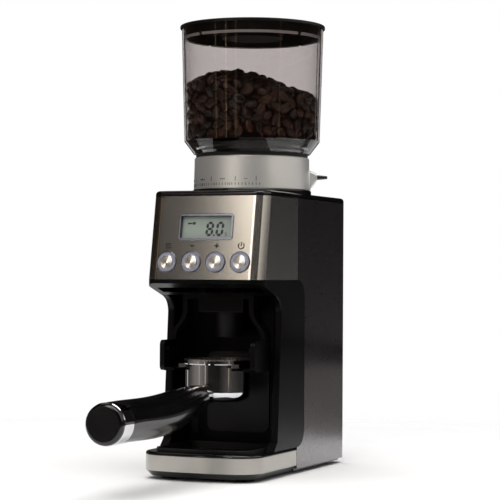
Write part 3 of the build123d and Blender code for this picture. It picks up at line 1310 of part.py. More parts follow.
# Hopper: clear drum on a conical skirt, with a neck that enters the carrier
hopper_in_top = HOPPER_RADIUS - HOPPER_WALL
hopper_in_low = HOPPER_LOW_RADIUS - HOPPER_WALL
floor_low = HOPPER_LOW - HOPPER_FLOOR
skirt_spread = HOPPER_LOW_RADIUS - HOPPER_FOOT_RADIUS
skirt_out_high = HOPPER_LOW_RADIUS - skirt_spread * HOPPER_FLOOR / HOPPER_CONE_HEIGHT
hopper_neck_in = HOPPER_NECK_RADIUS - HOPPER_NECK_WALL
hopper_throat_in = HOPPER_THROAT_RADIUS - HOPPER_NECK_WALL
with BuildPart() as hopper:
    turn([
        (hopper_neck_in, neck_low),
        (HOPPER_NECK_RADIUS, neck_low),
        (HOPPER_NECK_RADIUS, HOPPER_FOOT),
        (HOPPER_THROAT_RADIUS, floor_low),
        (skirt_out_high - HOPPER_SKIRT_WALL, floor_low),
        (HOPPER_FOOT_RADIUS - HOPPER_FOOT_WALL, HOPPER_FOOT),
        (HOPPER_FOOT_RADIUS, HOPPER_FOOT),
        (HOPPER_LOW_RADIUS, HOPPER_LOW),
        (HOPPER_RADIUS, HOPPER_TOP),
        (hopper_in_top, HOPPER_TOP),
        (hopper_in_low, HOPPER_LOW),
        (hopper_throat_in, HOPPER_LOW),
        (hopper_neck_in, HOPPER_FOOT),
    ])
keep(hopper, "hopper")

# Ring under the hopper, which also fills the hollow of the skirt
with BuildPart() as neck_ring:
    turn([
        (HOPPER_NECK_RADIUS + SEAT, RING_LOW),
        (NECK_RING_RADIUS, RING_LOW),
        (NECK_RING_RADIUS, HOPPER_FOOT),
        (HOPPER_FOOT_RADIUS - HOPPER_FOOT_WALL - SEAT, HOPPER_FOOT),
        (skirt_out_high - HOPPER_SKIRT_WALL - 2 * SEAT, floor_low - SEAT),
        (HOPPER_THROAT_RADIUS + SEAT, floor_low - SEAT),
        (HOPPER_NECK_RADIUS + SEAT, HOPPER_FOOT),
    ])
keep(neck_ring, "neck_ring")

# Coffee beans: a heap that fills the hopper and its neck, with its peak left of the middle
heap_top = HOPPER_TOP - HEAP_DROP
heap_depth = heap_top - neck_low
with BuildPart() as coffee_beans:
    turn([
        (0, neck_low),
        (hopper_neck_in - RUN, neck_low),
        (hopper_neck_in - RUN, HOPPER_FOOT),
        (hopper_throat_in - RUN, HOPPER_LOW + RUN),
        (hopper_in_low - RUN, HOPPER_LOW + RUN),
        (hopper_in_low - RUN, HOPPER_TOP),
        (0, HOPPER_TOP),
    ])
    with Locations((HEAP_SIDE, place(HEAP_REACH), heap_top - heap_depth / 2)):
        Cone(heap_depth / tan(radians(HEAP_SLOPE)), 0, heap_depth, mode=Mode.INTERSECT)
keep(coffee_beans, "coffee_beans")

# Lid: flange on the rim, skirt inside it, and a finger dish with a bar
skirt_out = hopper_in_top - LID_GAP
skirt_low = HOPPER_TOP - LID_SKIRT
seal_low = skirt_low - SEAL_LIP
seal_top = seal_low + SEAL_HEIGHT
lid_top = HOPPER_TOP + LID_THICK
dish_low = lid_top - GRIP_DISH_DEPTH
with BuildPart() as hopper_lid:
    turn([
        (0, HOPPER_TOP),
        (skirt_out - LID_SKIRT_WALL, HOPPER_TOP),
        (skirt_out - LID_SKIRT_WALL, skirt_low),
        (skirt_out - SEAL_DEPTH, skirt_low),
        (skirt_out - SEAL_DEPTH, seal_top + SEAT),
        (skirt_out, seal_top + SEAT),
        (skirt_out, HOPPER_TOP),
        (LID_RADIUS, HOPPER_TOP),
        (LID_RADIUS, lid_top),
        (0, lid_top),
    ])
    fillet(hopper_lid.faces().sort_by(Axis.Z)[-1].edges(), LID_THICK / 3)
    ring(0, GRIP_DISH_RADIUS + LID_THICK, dish_low - LID_THICK, lid_top)
    ring(0, GRIP_DISH_RADIUS, dish_low, lid_top, mode=Mode.SUBTRACT)
    block(
        (-GRIP_DISH_RADIUS - SHEET, AXIS_Y - GRIP_BAR_WIDTH / 2, dish_low - SHEET),
        (GRIP_DISH_RADIUS + SHEET, AXIS_Y + GRIP_BAR_WIDTH / 2, lid_top - SHEET),
    )
    lug_height = seal_top + SHEET - skirt_low
    with Locations((0, AXIS_Y, skirt_low + lug_height / 2)):
        with PolarLocations(skirt_out - RUN - SEAL_DEPTH / 2, SEAL_NOTCHES, SEAL_NOTCH_ANGLE):
            Box(SEAL_DEPTH, SEAL_NOTCH - 2 * SEAT, lug_height)
keep(hopper_lid, "hopper_lid")

# Seal in four lengths, between the lugs of the lid's skirt
with BuildPart() as lid_seal:
    ring(skirt_out - SEAL_DEPTH + SHAFT_FIT, skirt_out, seal_low, seal_top)
    with Locations((0, AXIS_Y, seal_low)):
        with PolarLocations(skirt_out, SEAL_NOTCHES, SEAL_NOTCH_ANGLE):
            Box(4 * SEAL_DEPTH, SEAL_NOTCH, 4 * SEAL_HEIGHT, mode=Mode.SUBTRACT)
keep(lid_seal, "lid_seal")
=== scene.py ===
import math

import bmesh
import bpy
import numpy as np
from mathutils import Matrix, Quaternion, Vector


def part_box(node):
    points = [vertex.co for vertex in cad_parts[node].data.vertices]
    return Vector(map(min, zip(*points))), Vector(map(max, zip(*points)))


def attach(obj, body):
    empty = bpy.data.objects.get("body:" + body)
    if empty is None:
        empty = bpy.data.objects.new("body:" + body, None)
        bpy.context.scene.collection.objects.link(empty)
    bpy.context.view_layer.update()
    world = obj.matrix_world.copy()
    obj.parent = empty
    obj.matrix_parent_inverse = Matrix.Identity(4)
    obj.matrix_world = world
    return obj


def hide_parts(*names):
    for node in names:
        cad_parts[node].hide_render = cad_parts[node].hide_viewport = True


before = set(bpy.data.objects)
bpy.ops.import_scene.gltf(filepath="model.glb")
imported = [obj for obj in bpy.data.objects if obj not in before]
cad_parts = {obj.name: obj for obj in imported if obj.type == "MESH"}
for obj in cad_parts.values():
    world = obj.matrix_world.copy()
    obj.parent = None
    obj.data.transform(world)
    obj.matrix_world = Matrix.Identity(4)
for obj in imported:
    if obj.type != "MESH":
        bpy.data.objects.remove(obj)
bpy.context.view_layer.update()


# Base, top cover, knob and the black parts of the handle.
# Injection-moulded ABS from a polished mould: nearly black, with a clear gloss, and a faint
# waviness from the mould that makes the edges of reflections wander a little.
MM = 0.001


def colour(code):
    """Linear colour of an sRGB hex value."""
    parts = [int(code[i:i + 2], 16) / 255 for i in (1, 3, 5)]
    linear = [p / 12.92 if p <= 0.04045 else ((p + 0.055) / 1.055) ** 2.4 for p in parts]
    return (*linear, 1.0)


def node(tree, kind, settings=None, links=None):
    """Adds a node, sets its properties and input values, and links its inputs to other nodes."""
    made = tree.nodes.new(kind)
    for key, value in (settings or {}).items():
        if key in made.inputs:
            made.inputs[key].default_value = value
        else:
            setattr(made, key, value)
    for key, (source, output) in (links or {}).items():
        tree.links.new(source.outputs[output], made.inputs[key])
    return made


def new_finish(name):
    """An empty material and its node tree."""
    material = bpy.data.materials.new(name)
    material.use_nodes = True
    material.node_tree.nodes.clear()
    return material, material.node_tree


def dress(material, *names):
    """Gives CAD nodes a material."""
    for name in names:
        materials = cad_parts[name].data.materials
        materials.clear()
        materials.append(material)


gloss_abs, tree = new_finish("gloss_abs")
place = node(tree, "ShaderNodeTexCoord")
# Mould waviness about 12 mm across, and handling haze about 40 mm across.
waves = node(tree, "ShaderNodeTexNoise", {"Scale": 1 / (12 * MM), "Detail": 2},
             {"Vector": (place, "Object")})
haze = node(tree, "ShaderNodeTexNoise", {"Scale": 1 / (40 * MM), "Detail": 6},
            {"Vector": (place, "Object")})
rough = node(tree, "ShaderNodeMapRange", {"To Min": 0.08, "To Max": 0.2}, {"Value": (haze, "Fac")})
tone = node(tree, "ShaderNodeMixRGB", {"Color1": colour("#060607"), "Color2": colour("#0C0C0D")},
            {"Fac": (haze, "Fac")})
bump = node(tree, "ShaderNodeBump", {"Strength": 0.12, "Distance": 0.2 * MM}, {"Height": (waves, "Fac")})
shader = node(tree, "ShaderNodeBsdfPrincipled", {"IOR": 1.55},
              {"Base Color": (tone, "Color"), "Roughness": (rough, "Result"), "Normal": (bump, "Normal")})
node(tree, "ShaderNodeOutputMaterial", {}, {"Surface": (shader, "BSDF")})
dress(gloss_abs, "base", "top_cover", "handle_grip", "handle_cap", "lever_knob")


# Front frame, cradle and chute cover: ABS from a mould that was bead blasted and then wiped.
# Black with a satin sheen, so reflections lie on it as soft patches without an edge. The IOR is set
# below that of ABS, here and on the grained parts and lid, to match how dark the real ones look.
satin_abs, tree = new_finish("satin_abs")
place = node(tree, "ShaderNodeTexCoord")
# Blasted texture of about 0.2 mm, drawn at 0.5 mm, and wiped patches about 30 mm across.
blast = node(tree, "ShaderNodeTexNoise", {"Scale": 1 / (0.5 * MM), "Detail": 2},
             {"Vector": (place, "Object")})
wiped = node(tree, "ShaderNodeTexNoise", {"Scale": 1 / (30 * MM), "Detail": 5},
             {"Vector": (place, "Object")})
rough = node(tree, "ShaderNodeMapRange", {"To Min": 0.26, "To Max": 0.36}, {"Value": (wiped, "Fac")})
tone = node(tree, "ShaderNodeMixRGB", {"Color1": colour("#030304"), "Color2": colour("#070708")},
            {"Fac": (blast, "Fac")})
bump = node(tree, "ShaderNodeBump", {"Strength": 0.06, "Distance": 0.05 * MM}, {"Height": (blast, "Fac")})
shader = node(tree, "ShaderNodeBsdfPrincipled", {"IOR": 1.22},
              {"Base Color": (tone, "Color"), "Roughness": (rough, "Result"), "Normal": (bump, "Normal")})
node(tree, "ShaderNodeOutputMaterial", {}, {"Surface": (shader, "BSDF")})
dress(satin_abs, "front_frame", "cradle", "chute_cover")


# Rear cover, base plate, bay lining, tray, nozzle, plunger, inlet and the mouldings inside.
# ABS from a spark-eroded mould: dull black with a fine even grain of about 0.3 mm,
# drawn here at 0.6 mm so that it shows.
grained_abs, tree = new_finish("grained_abs")
place = node(tree, "ShaderNodeTexCoord")
grain = node(tree, "ShaderNodeTexNoise", {"Scale": 1 / (0.6 * MM), "Detail": 2},
             {"Vector": (place, "Object")})
scuff = node(tree, "ShaderNodeTexNoise", {"Scale": 1 / (25 * MM), "Detail": 5},
             {"Vector": (place, "Object")})
rough = node(tree, "ShaderNodeMapRange", {"To Min": 0.4, "To Max": 0.62}, {"Value": (scuff, "Fac")})
tone = node(tree, "ShaderNodeMixRGB", {"Color1": colour("#060607"), "Color2": colour("#0C0C0D")},
            {"Fac": (grain, "Fac")})
bump = node(tree, "ShaderNodeBump", {"Strength": 0.35, "Distance": 0.1 * MM}, {"Height": (grain, "Fac")})
shader = node(tree, "ShaderNodeBsdfPrincipled", {"IOR": 1.4},
              {"Base Color": (tone, "Color"), "Roughness": (rough, "Result"), "Normal": (bump, "Normal")})
node(tree, "ShaderNodeOutputMaterial", {}, {"Surface": (shader, "BSDF")})
dress(grained_abs, "base_plate", "bay_plate", "drip_tray", "panel_backing", "rear_cover", "chute",
      "chute_nozzle", "start_plunger", "start_switch", "gear_case", "gear_cover", "grind_chamber",
      "burr_carrier", "sweeper", "mains_inlet")


# Feet and the ring under the hopper: black rubber, cut or moulded.
# It takes no clear reflection, and has a dusty bloom about 5 mm across.
rubber, tree = new_finish("rubber")
place = node(tree, "ShaderNodeTexCoord")
bloom = node(tree, "ShaderNodeTexNoise", {"Scale": 1 / (5 * MM), "Detail": 6},
             {"Vector": (place, "Object")})
tone = node(tree, "ShaderNodeMixRGB", {"Color1": colour("#090909"), "Color2": colour("#141414")},
            {"Fac": (bloom, "Fac")})
bump = node(tree, "ShaderNodeBump", {"Strength": 0.3, "Distance": 0.1 * MM}, {"Height": (bloom, "Fac")})
shader = node(tree, "ShaderNodeBsdfPrincipled", {"IOR": 1.52, "Roughness": 0.72},
              {"Base Color": (tone, "Color"), "Normal": (bump, "Normal")})
node(tree, "ShaderNodeOutputMaterial", {}, {"Surface": (shader, "BSDF")})
dress(rubber, "feet", "neck_ring")


# Side panels: sheet with a satin charcoal paint that holds fine metal flakes.
# The flakes are about 0.1 mm, and drawn at 0.5 mm so that they show as a soft sparkle.
charcoal_paint, tree = new_finish("charcoal_paint")
place = node(tree, "ShaderNodeTexCoord")
flakes = node(tree, "ShaderNodeTexNoise", {"Scale": 1 / (0.5 * MM), "Detail": 3},
              {"Vector": (place, "Object")})
peel = node(tree, "ShaderNodeTexNoise", {"Scale": 1 / (3 * MM), "Detail": 2}, {"Vector": (place, "Object")})
sparkle = node(tree, "ShaderNodeMapRange", {"From Min": 0.35, "From Max": 0.75}, {"Value": (flakes, "Fac")})
tone = node(tree, "ShaderNodeMixRGB", {"Color1": colour("#5B5658"), "Color2": colour("#6A6567")},
            {"Fac": (sparkle, "Result")})
rough = node(tree, "ShaderNodeMapRange", {"To Min": 0.24, "To Max": 0.34}, {"Value": (peel, "Fac")})
bump = node(tree, "ShaderNodeBump", {"Strength": 0.04, "Distance": 0.1 * MM}, {"Height": (peel, "Fac")})
shader = node(tree, "ShaderNodeBsdfPrincipled",
              {"Metallic": 1.0, "Coat Weight": 1.0, "Coat Roughness": 0.15},
              {"Base Color": (tone, "Color"), "Roughness": (rough, "Result"), "Normal": (bump, "Normal")})
node(tree, "ShaderNodeOutputMaterial", {}, {"Surface": (shader, "BSDF")})
dress(charcoal_paint, "side_panel_left", "side_panel_right")


# Control panel and base band: stainless steel sheet, brushed level along its length.
# Scratches are 20 to 40 mm long and about 0.1 mm wide, drawn 0.5 mm wide so that they show.
# The brushing spreads highlights up and down the sheet.
brushed_steel, tree = new_finish("brushed_steel")
place = node(tree, "ShaderNodeTexCoord")
stretch = node(tree, "ShaderNodeMapping", {"Scale": (1 / (30 * MM), 1 / (30 * MM), 1 / (0.5 * MM))},
               {"Vector": (place, "Object")})
scratches = node(tree, "ShaderNodeTexNoise", {"Scale": 1.0, "Detail": 4, "Roughness": 0.65},
                 {"Vector": (stretch, "Vector")})
tone = node(tree, "ShaderNodeMixRGB", {"Color1": colour("#B5B1AB"), "Color2": colour("#C6C2BC")},
            {"Fac": (scratches, "Fac")})
rough = node(tree, "ShaderNodeMapRange", {"To Min": 0.16, "To Max": 0.2}, {"Value": (scratches, "Fac")})
bump = node(tree, "ShaderNodeBump", {"Strength": 0.05, "Distance": 0.05 * MM},
            {"Height": (scratches, "Fac")})
along = node(tree, "ShaderNodeTangent", {"direction_type": "RADIAL", "axis": "Z"})
shader = node(tree, "ShaderNodeBsdfPrincipled",
              {"Metallic": 1.0, "Anisotropic": 1.0, "Anisotropic Rotation": 0.25},
              {"Base Color": (tone, "Color"), "Roughness": (rough, "Result"), "Normal": (bump, "Normal"),
               "Tangent": (along, "Tangent")})
node(tree, "ShaderNodeOutputMaterial", {}, {"Surface": (shader, "BSDF")})
dress(brushed_steel, "control_panel", "base_band")


# Signs over the buttons: dark ink, screen printed about 0.05 mm thick on the steel.
# From the left: three bars for the settings, minus, plus, and a broken ring with a stroke.
# The printing screen's mesh, about 0.1 mm and drawn at 0.4 mm, leaves the ink a little uneven.
PANEL_FOOT_OUT = 13.0
panel_low, panel_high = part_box("control_panel")
PANEL_TOP = Vector((0, panel_low.y + PANEL_FOOT_OUT * MM, panel_high.z))
PANEL_LEAN = math.atan2(PANEL_FOOT_OUT * MM, panel_high.z - panel_low.z)
PANEL_OUT = Vector((0, -math.cos(PANEL_LEAN), math.sin(PANEL_LEAN)))
PANEL_UP = Vector((0, math.sin(PANEL_LEAN), math.cos(PANEL_LEAN)))
BUTTONS = ("button_set", "button_minus", "button_plus", "button_power")
BUTTON_PLACES = [sum(corner.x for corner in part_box(name)) / 2 / MM for name in BUTTONS]
BUTTON_PITCH = BUTTON_PLACES[1] - BUTTON_PLACES[0]
BUTTON_DROP = 59.6
SIGN_DROP = 45.0
INK_THICK = 0.05
BAR_LONG = 5.8
BAR_THICK = 1.0
BAR_STEP = 1.9
DASH_LONG = 4.0
CROSS_LONG = 4.2
STROKE = 1.2
RING_INNER = 2.2
RING_OUTER = 3.2
RING_START = -50
RING_END = 230
STEM_WIDE = 1.0
STEM_TOP = -3.6
STEM_FOOT = 0.3


def on_panel(across, down, out):
    """Point on the sloping panel, in millimetres from the middle of its top edge."""
    return PANEL_TOP + (Vector((across, 0, 0)) - PANEL_UP * down + PANEL_OUT * out) * MM


def plate(x, y, wide, high):
    """Corners of an upright rectangle about its middle."""
    left, right, low, top = x - wide / 2, x + wide / 2, y - high / 2, y + high / 2
    return [(left, low), (right, low), (right, top), (left, top)]


def arc(x, y, inner, outer, start, end, steps=24):
    """Four-cornered pieces of a flat ring, from one angle to another."""
    pieces = []
    for i in range(steps):
        a, b = (math.radians(start + (end - start) * k / steps) for k in (i, i + 1))
        pieces.append([(x + r * math.cos(t), y + r * math.sin(t))
                       for r, t in ((inner, a), (outer, a), (outer, b), (inner, b))])
    return pieces


def set_in(name, bm, material, body):
    """Turns a mesh in the making into a piece of the scene that rides on a body."""
    bmesh.ops.recalc_face_normals(bm, faces=bm.faces)
    mesh = bpy.data.meshes.new(name)
    bm.to_mesh(mesh)
    bm.free()
    mesh.materials.append(material)
    piece = bpy.data.objects.new(name, mesh)
    bpy.context.scene.collection.objects.link(piece)
    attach(piece, body)


def raised(name, shapes, put, thick, material, body):
    """Thin closed slabs of the given outlines, put on a surface as one piece."""
    bm = bmesh.new()
    for shape in shapes:
        floor = [bm.verts.new(put(x, y, 0.0)) for x, y in shape]
        roof = [bm.verts.new(put(x, y, thick)) for x, y in shape]
        bm.faces.new(floor[::-1])
        bm.faces.new(roof)
        for i in range(len(shape)):
            j = (i + 1) % len(shape)
            bm.faces.new((floor[i], floor[j], roof[j], roof[i]))
    set_in(name, bm, material, body)


screen_ink, tree = new_finish("screen_ink")
place = node(tree, "ShaderNodeTexCoord")
mesh_marks = node(tree, "ShaderNodeTexNoise", {"Scale": 1 / (0.4 * MM)}, {"Vector": (place, "Object")})
tone = node(tree, "ShaderNodeMixRGB", {"Color1": colour("#080706"), "Color2": colour("#12100E")},
            {"Fac": (mesh_marks, "Fac")})
shader = node(tree, "ShaderNodeBsdfPrincipled", {"Roughness": 0.7}, {"Base Color": (tone, "Color")})
node(tree, "ShaderNodeOutputMaterial", {}, {"Surface": (shader, "BSDF")})

set_at, minus_at, plus_at, power_at = BUTTON_PLACES
signs = [plate(set_at, SIGN_DROP + row * BAR_STEP, BAR_LONG, BAR_THICK) for row in (-1, 0, 1)]
signs.append(plate(minus_at, SIGN_DROP, DASH_LONG, STROKE))
signs.append(plate(plus_at, SIGN_DROP, CROSS_LONG, STROKE))
cross_arm = (CROSS_LONG - STROKE) / 2
for side in (-1, 1):
    signs.append(plate(plus_at, SIGN_DROP + side * (STROKE + cross_arm) / 2, STROKE, cross_arm))
signs += arc(power_at, SIGN_DROP, RING_INNER, RING_OUTER, RING_START, RING_END)
signs.append(plate(power_at, SIGN_DROP + (STEM_TOP + STEM_FOOT) / 2, STEM_WIDE, STEM_FOOT - STEM_TOP))
raised("panel_signs", signs, on_panel, INK_THICK, screen_ink, "housing")


# Display: a liquid crystal cell at the bottom of a bevelled, bright-plated frame.
# The cell is grey-green where it is clear and blue-black where the segments are on. The plating
# has a polishing haze about 8 mm across, and the cell is clouded by its filling.
plated_trim, tree = new_finish("plated_trim")
place = node(tree, "ShaderNodeTexCoord")
haze = node(tree, "ShaderNodeTexNoise", {"Scale": 1 / (8 * MM), "Detail": 4}, {"Vector": (place, "Object")})
rough = node(tree, "ShaderNodeMapRange", {"To Min": 0.12, "To Max": 0.24}, {"Value": (haze, "Fac")})
tone = node(tree, "ShaderNodeMixRGB", {"Color1": colour("#62636D"), "Color2": colour("#7C7D87")},
            {"Fac": (haze, "Fac")})
shader = node(tree, "ShaderNodeBsdfPrincipled", {"Metallic": 1.0},
              {"Base Color": (tone, "Color"), "Roughness": (rough, "Result")})
node(tree, "ShaderNodeOutputMaterial", {}, {"Surface": (shader, "BSDF")})
dress(plated_trim, "display_frame")

liquid_crystal, tree = new_finish("liquid_crystal")
place = node(tree, "ShaderNodeTexCoord")
cloud = node(tree, "ShaderNodeTexNoise", {"Scale": 1 / (30 * MM), "Detail": 2},
             {"Vector": (place, "Object")})
tone = node(tree, "ShaderNodeMixRGB", {"Color1": colour("#7F8D86"), "Color2": colour("#98A299")},
            {"Fac": (cloud, "Fac")})
shader = node(tree, "ShaderNodeBsdfPrincipled", {"Roughness": 0.35, "IOR": 1.5},
              {"Base Color": (tone, "Color")})
node(tree, "ShaderNodeOutputMaterial", {}, {"Surface": (shader, "BSDF")})
dress(liquid_crystal, "display_module")

segments_on, tree = new_finish("segments_on")
place = node(tree, "ShaderNodeTexCoord")
cloud = node(tree, "ShaderNodeTexNoise", {"Scale": 1 / (6 * MM)}, {"Vector": (place, "Object")})
tone = node(tree, "ShaderNodeMixRGB", {"Color1": colour("#0E1220"), "Color2": colour("#171D2C")},
            {"Fac": (cloud, "Fac")})
shader = node(tree, "ShaderNodeBsdfPrincipled", {"Roughness": 0.35}, {"Base Color": (tone, "Color")})
node(tree, "ShaderNodeOutputMaterial", {}, {"Surface": (shader, "BSDF")})

DISPLAY_TRIM = 2.0
DISPLAY_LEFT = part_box("display_frame")[0].x / MM + DISPLAY_TRIM
DISPLAY_DROP = 18.0
CELL_FACE = -4.0
CELL_FILM = 0.05
DIGIT_LEAN = 0.1
DIGIT_TOP = 4.5
DIGIT_SIZE = (7.4, 13.1)
DIGIT_STROKE = 2.4
SEGMENT_GAP = 0.12
FIRST_DIGIT = 24.0
SECOND_DIGIT = 33.7
POINT_AT = (32.55, 16.7)
POINT_SIZE = (1.5, 1.6)
UNIT_AT = (42.9, 14.2)
UNIT_SIZE = (2.2, 3.3)
UNIT_STROKE = 0.5
# Sign for a filter holder: a handle, and a bowl to its right.
HANDLE_SIGN = [(5.5, 5.2), (10.2, 5.4), (10.2, 6.5), (5.5, 6.9)]
BOWL_SIGN = [(10.2, 4.8), (13.2, 4.8), (12.9, 7.1), (10.5, 7.1)]


def on_cell(across, down, out):
    """Point on the display, in millimetres from its top left corner, leaning as its digits do."""
    return on_panel(DISPLAY_LEFT + across - DIGIT_LEAN * down, DISPLAY_DROP + down, CELL_FACE + out)


def digit(left, top, width, height, stroke, lit):
    """Segments of a seven-segment figure that are on."""
    half, gap = stroke / 2, stroke * SEGMENT_GAP
    right, middle, low = left + width, top + height / 2, top + height
    shapes = []
    for key, y in (("a", top + half), ("g", middle), ("d", low - half)):
        if key in lit:
            x0, x1 = left + half + gap, right - half - gap
            shapes.append([(x0, y), (x0 + half, y - half), (x1 - half, y - half), (x1, y),
                           (x1 - half, y + half), (x0 + half, y + half)])
    uprights = (("f", left + half, top + half, middle), ("b", right - half, top + half, middle),
                ("e", left + half, middle, low - half), ("c", right - half, middle, low - half))
    for key, x, y0, y1 in uprights:
        if key in lit:
            y0, y1 = y0 + gap, y1 - gap
            shapes.append([(x, y0), (x + half, y0 + half), (x + half, y1 - half), (x, y1),
                           (x - half, y1 - half), (x - half, y0 + half)])
    return shapes


figures = digit(FIRST_DIGIT, DIGIT_TOP, *DIGIT_SIZE, DIGIT_STROKE, "abcdefg")
figures += digit(SECOND_DIGIT, DIGIT_TOP, *DIGIT_SIZE, DIGIT_STROKE, "abcdef")
figures.append(plate(*POINT_AT, *POINT_SIZE))
figures += digit(*UNIT_AT, *UNIT_SIZE, UNIT_STROKE, "afgcd")
figures += [HANDLE_SIGN, BOWL_SIGN]
raised("display_figures", figures, on_cell, CELL_FILM, segments_on, "housing")


# Rings round the buttons: pale lavender-grey plastic with a bright plated line at the edge.
# The plastic is milky, in clouds about 4 mm across, and takes a soft gloss. A band 0.5 mm wide round the
# middle of each ring is darkened as painted shade of a groove, and its outer edge, where it falls away, is
# painted dark as the shade in the gap round it.
GROOVE_SHADE_INNER = 7.3
GROOVE_SHADE_OUTER = 7.8
GAP_SHADE_RADIUS = 8.4
LINE_RADIUS = 9.25
LINE_HALF = 0.4
LINE_SIDES = 8
milky_ring, tree = new_finish("milky_ring")
place = node(tree, "ShaderNodeTexCoord")
milk = node(tree, "ShaderNodeTexNoise", {"Scale": 1 / (4 * MM), "Detail": 3}, {"Vector": (place, "Object")})
tone = node(tree, "ShaderNodeMixRGB", {"Color1": colour("#888A9E"), "Color2": colour("#A2A3B4")},
            {"Fac": (milk, "Fac")})
rough = node(tree, "ShaderNodeMapRange", {"To Min": 0.22, "To Max": 0.34}, {"Value": (milk, "Fac")})
# One cell for each button, on the panel's plane, gives the distance from the button's middle.
row_rise = on_panel(0, BUTTON_DROP, 0).dot(PANEL_UP) / (BUTTON_PITCH * MM)
flat = node(tree, "ShaderNodeMapping",
            {"Scale": [1 / (BUTTON_PITCH * MM)] * 3, "Location": (0.5, -row_rise, 0),
             "Rotation": (PANEL_LEAN - math.pi / 2, 0, 0)}, {"Vector": (place, "Object")})
middles = node(tree, "ShaderNodeTexVoronoi", {"voronoi_dimensions": "2D", "Scale": 1.0, "Randomness": 0.0},
               {"Vector": (flat, "Vector")})
# Painted shade: a grey band where a groove would lie, and dark from the gap's radius outward, multiplied
# into the plastic's colour.
groove_and_gap_shade = node(tree, "ShaderNodeValToRGB", {}, {"Fac": (middles, "Distance")})
groove_and_gap_shade.color_ramp.interpolation = "CONSTANT"
groove_and_gap_shade.color_ramp.elements[0].color = colour("#FFFFFF")
for radius, tint in ((GROOVE_SHADE_INNER, "#6E6E78"), (GROOVE_SHADE_OUTER, "#FFFFFF"), (GAP_SHADE_RADIUS, "#35353C")):
    groove_and_gap_shade.color_ramp.elements.new(radius / BUTTON_PITCH).color = colour(tint)
ring_tone_with_shade = node(tree, "ShaderNodeMixRGB", {"blend_type": "MULTIPLY", "Fac": 1.0},
              {"Color1": (tone, "Color"), "Color2": (groove_and_gap_shade, "Color")})
shader = node(tree, "ShaderNodeBsdfPrincipled", {"IOR": 1.49},
              {"Base Color": (ring_tone_with_shade, "Color"), "Roughness": (rough, "Result")})
node(tree, "ShaderNodeOutputMaterial", {}, {"Surface": (shader, "BSDF")})
dress(milky_ring, "button_rings")


def lathe(name, outline, centre, axis, material, body, steps=64):
    """Closed turned piece: an outline of (radius, height) points in metres, turned about an axis."""
    axis = Vector(axis).normalized()
    first = axis.orthogonal().normalized()
    second = axis.cross(first)
    bm = bmesh.new()
    rounds = []
    for i in range(steps):
        t = 2 * math.pi * i / steps
        spoke = first * math.cos(t) + second * math.sin(t)
        rounds.append([bm.verts.new(Vector(centre) + spoke * r + axis * h) for r, h in outline])
    for i in range(steps):
        here, there = rounds[i], rounds[(i + 1) % steps]
        for j in range(len(outline)):
            k = (j + 1) % len(outline)
            bm.faces.new((here[j], there[j], there[k], here[k])).smooth = True
    set_in(name, bm, material, body)


line_section = []
for i in range(LINE_SIDES):
    t = 2 * math.pi * i / LINE_SIDES
    line_section.append(((LINE_RADIUS + LINE_HALF * math.cos(t)) * MM,
                         (LINE_HALF + LINE_HALF * math.sin(t)) * MM))
for i, across in enumerate(BUTTON_PLACES):
    lathe(f"button_line_{i + 1}", line_section, on_panel(across, BUTTON_DROP, 0), PANEL_OUT,
          plated_trim, "housing")


# Button caps: stainless steel, faced on a lathe, so the marks run in circles and the
# highlight opens out in two opposite fans. The marks are 0.05 mm apart, drawn at 0.4 mm.
spun_steel, tree = new_finish("spun_steel")
place = node(tree, "ShaderNodeTexCoord")
marks = node(tree, "ShaderNodeTexNoise", {"Scale": 1 / (0.4 * MM), "Detail": 2},
             {"Vector": (place, "Object")})
tone = node(tree, "ShaderNodeMixRGB", {"Color1": colour("#D2D0CD"), "Color2": colour("#E8E6E2")},
            {"Fac": (marks, "Fac")})
rough = node(tree, "ShaderNodeMapRange", {"To Min": 0.3, "To Max": 0.34}, {"Value": (marks, "Fac")})
round_way = node(tree, "ShaderNodeTangent", {"direction_type": "RADIAL", "axis": "Y"})
shader = node(tree, "ShaderNodeBsdfPrincipled",
              {"Metallic": 1.0, "Anisotropic": 1.0, "Anisotropic Rotation": 0.25},
              {"Base Color": (tone, "Color"), "Roughness": (rough, "Result"),
               "Tangent": (round_way, "Tangent")})
node(tree, "ShaderNodeOutputMaterial", {}, {"Surface": (shader, "BSDF")})
dress(spun_steel, *BUTTONS)


# Grind dial and its lever: a moulded collar with a satin silver lacquer.
# The aluminium flakes are about 0.05 mm, drawn at 0.5 mm as a faint cloud.
silver_lacquer, tree = new_finish("silver_lacquer")
place = node(tree, "ShaderNodeTexCoord")
flakes = node(tree, "ShaderNodeTexNoise", {"Scale": 1 / (0.5 * MM), "Detail": 3},
              {"Vector": (place, "Object")})
tone = node(tree, "ShaderNodeMixRGB", {"Color1": colour("#EFEFED"), "Color2": colour("#FAFAF8")},
            {"Fac": (flakes, "Fac")})
rough = node(tree, "ShaderNodeMapRange", {"To Min": 0.36, "To Max": 0.44}, {"Value": (flakes, "Fac")})
bump = node(tree, "ShaderNodeBump", {"Strength": 0.08, "Distance": 0.05 * MM}, {"Height": (flakes, "Fac")})
shader = node(tree, "ShaderNodeBsdfPrincipled", {"Metallic": 0.82},
              {"Base Color": (tone, "Color"), "Roughness": (rough, "Result"), "Normal": (bump, "Normal")})
node(tree, "ShaderNodeOutputMaterial", {}, {"Surface": (shader, "BSDF")})
dress(silver_lacquer, "grind_dial", "dial_lever")


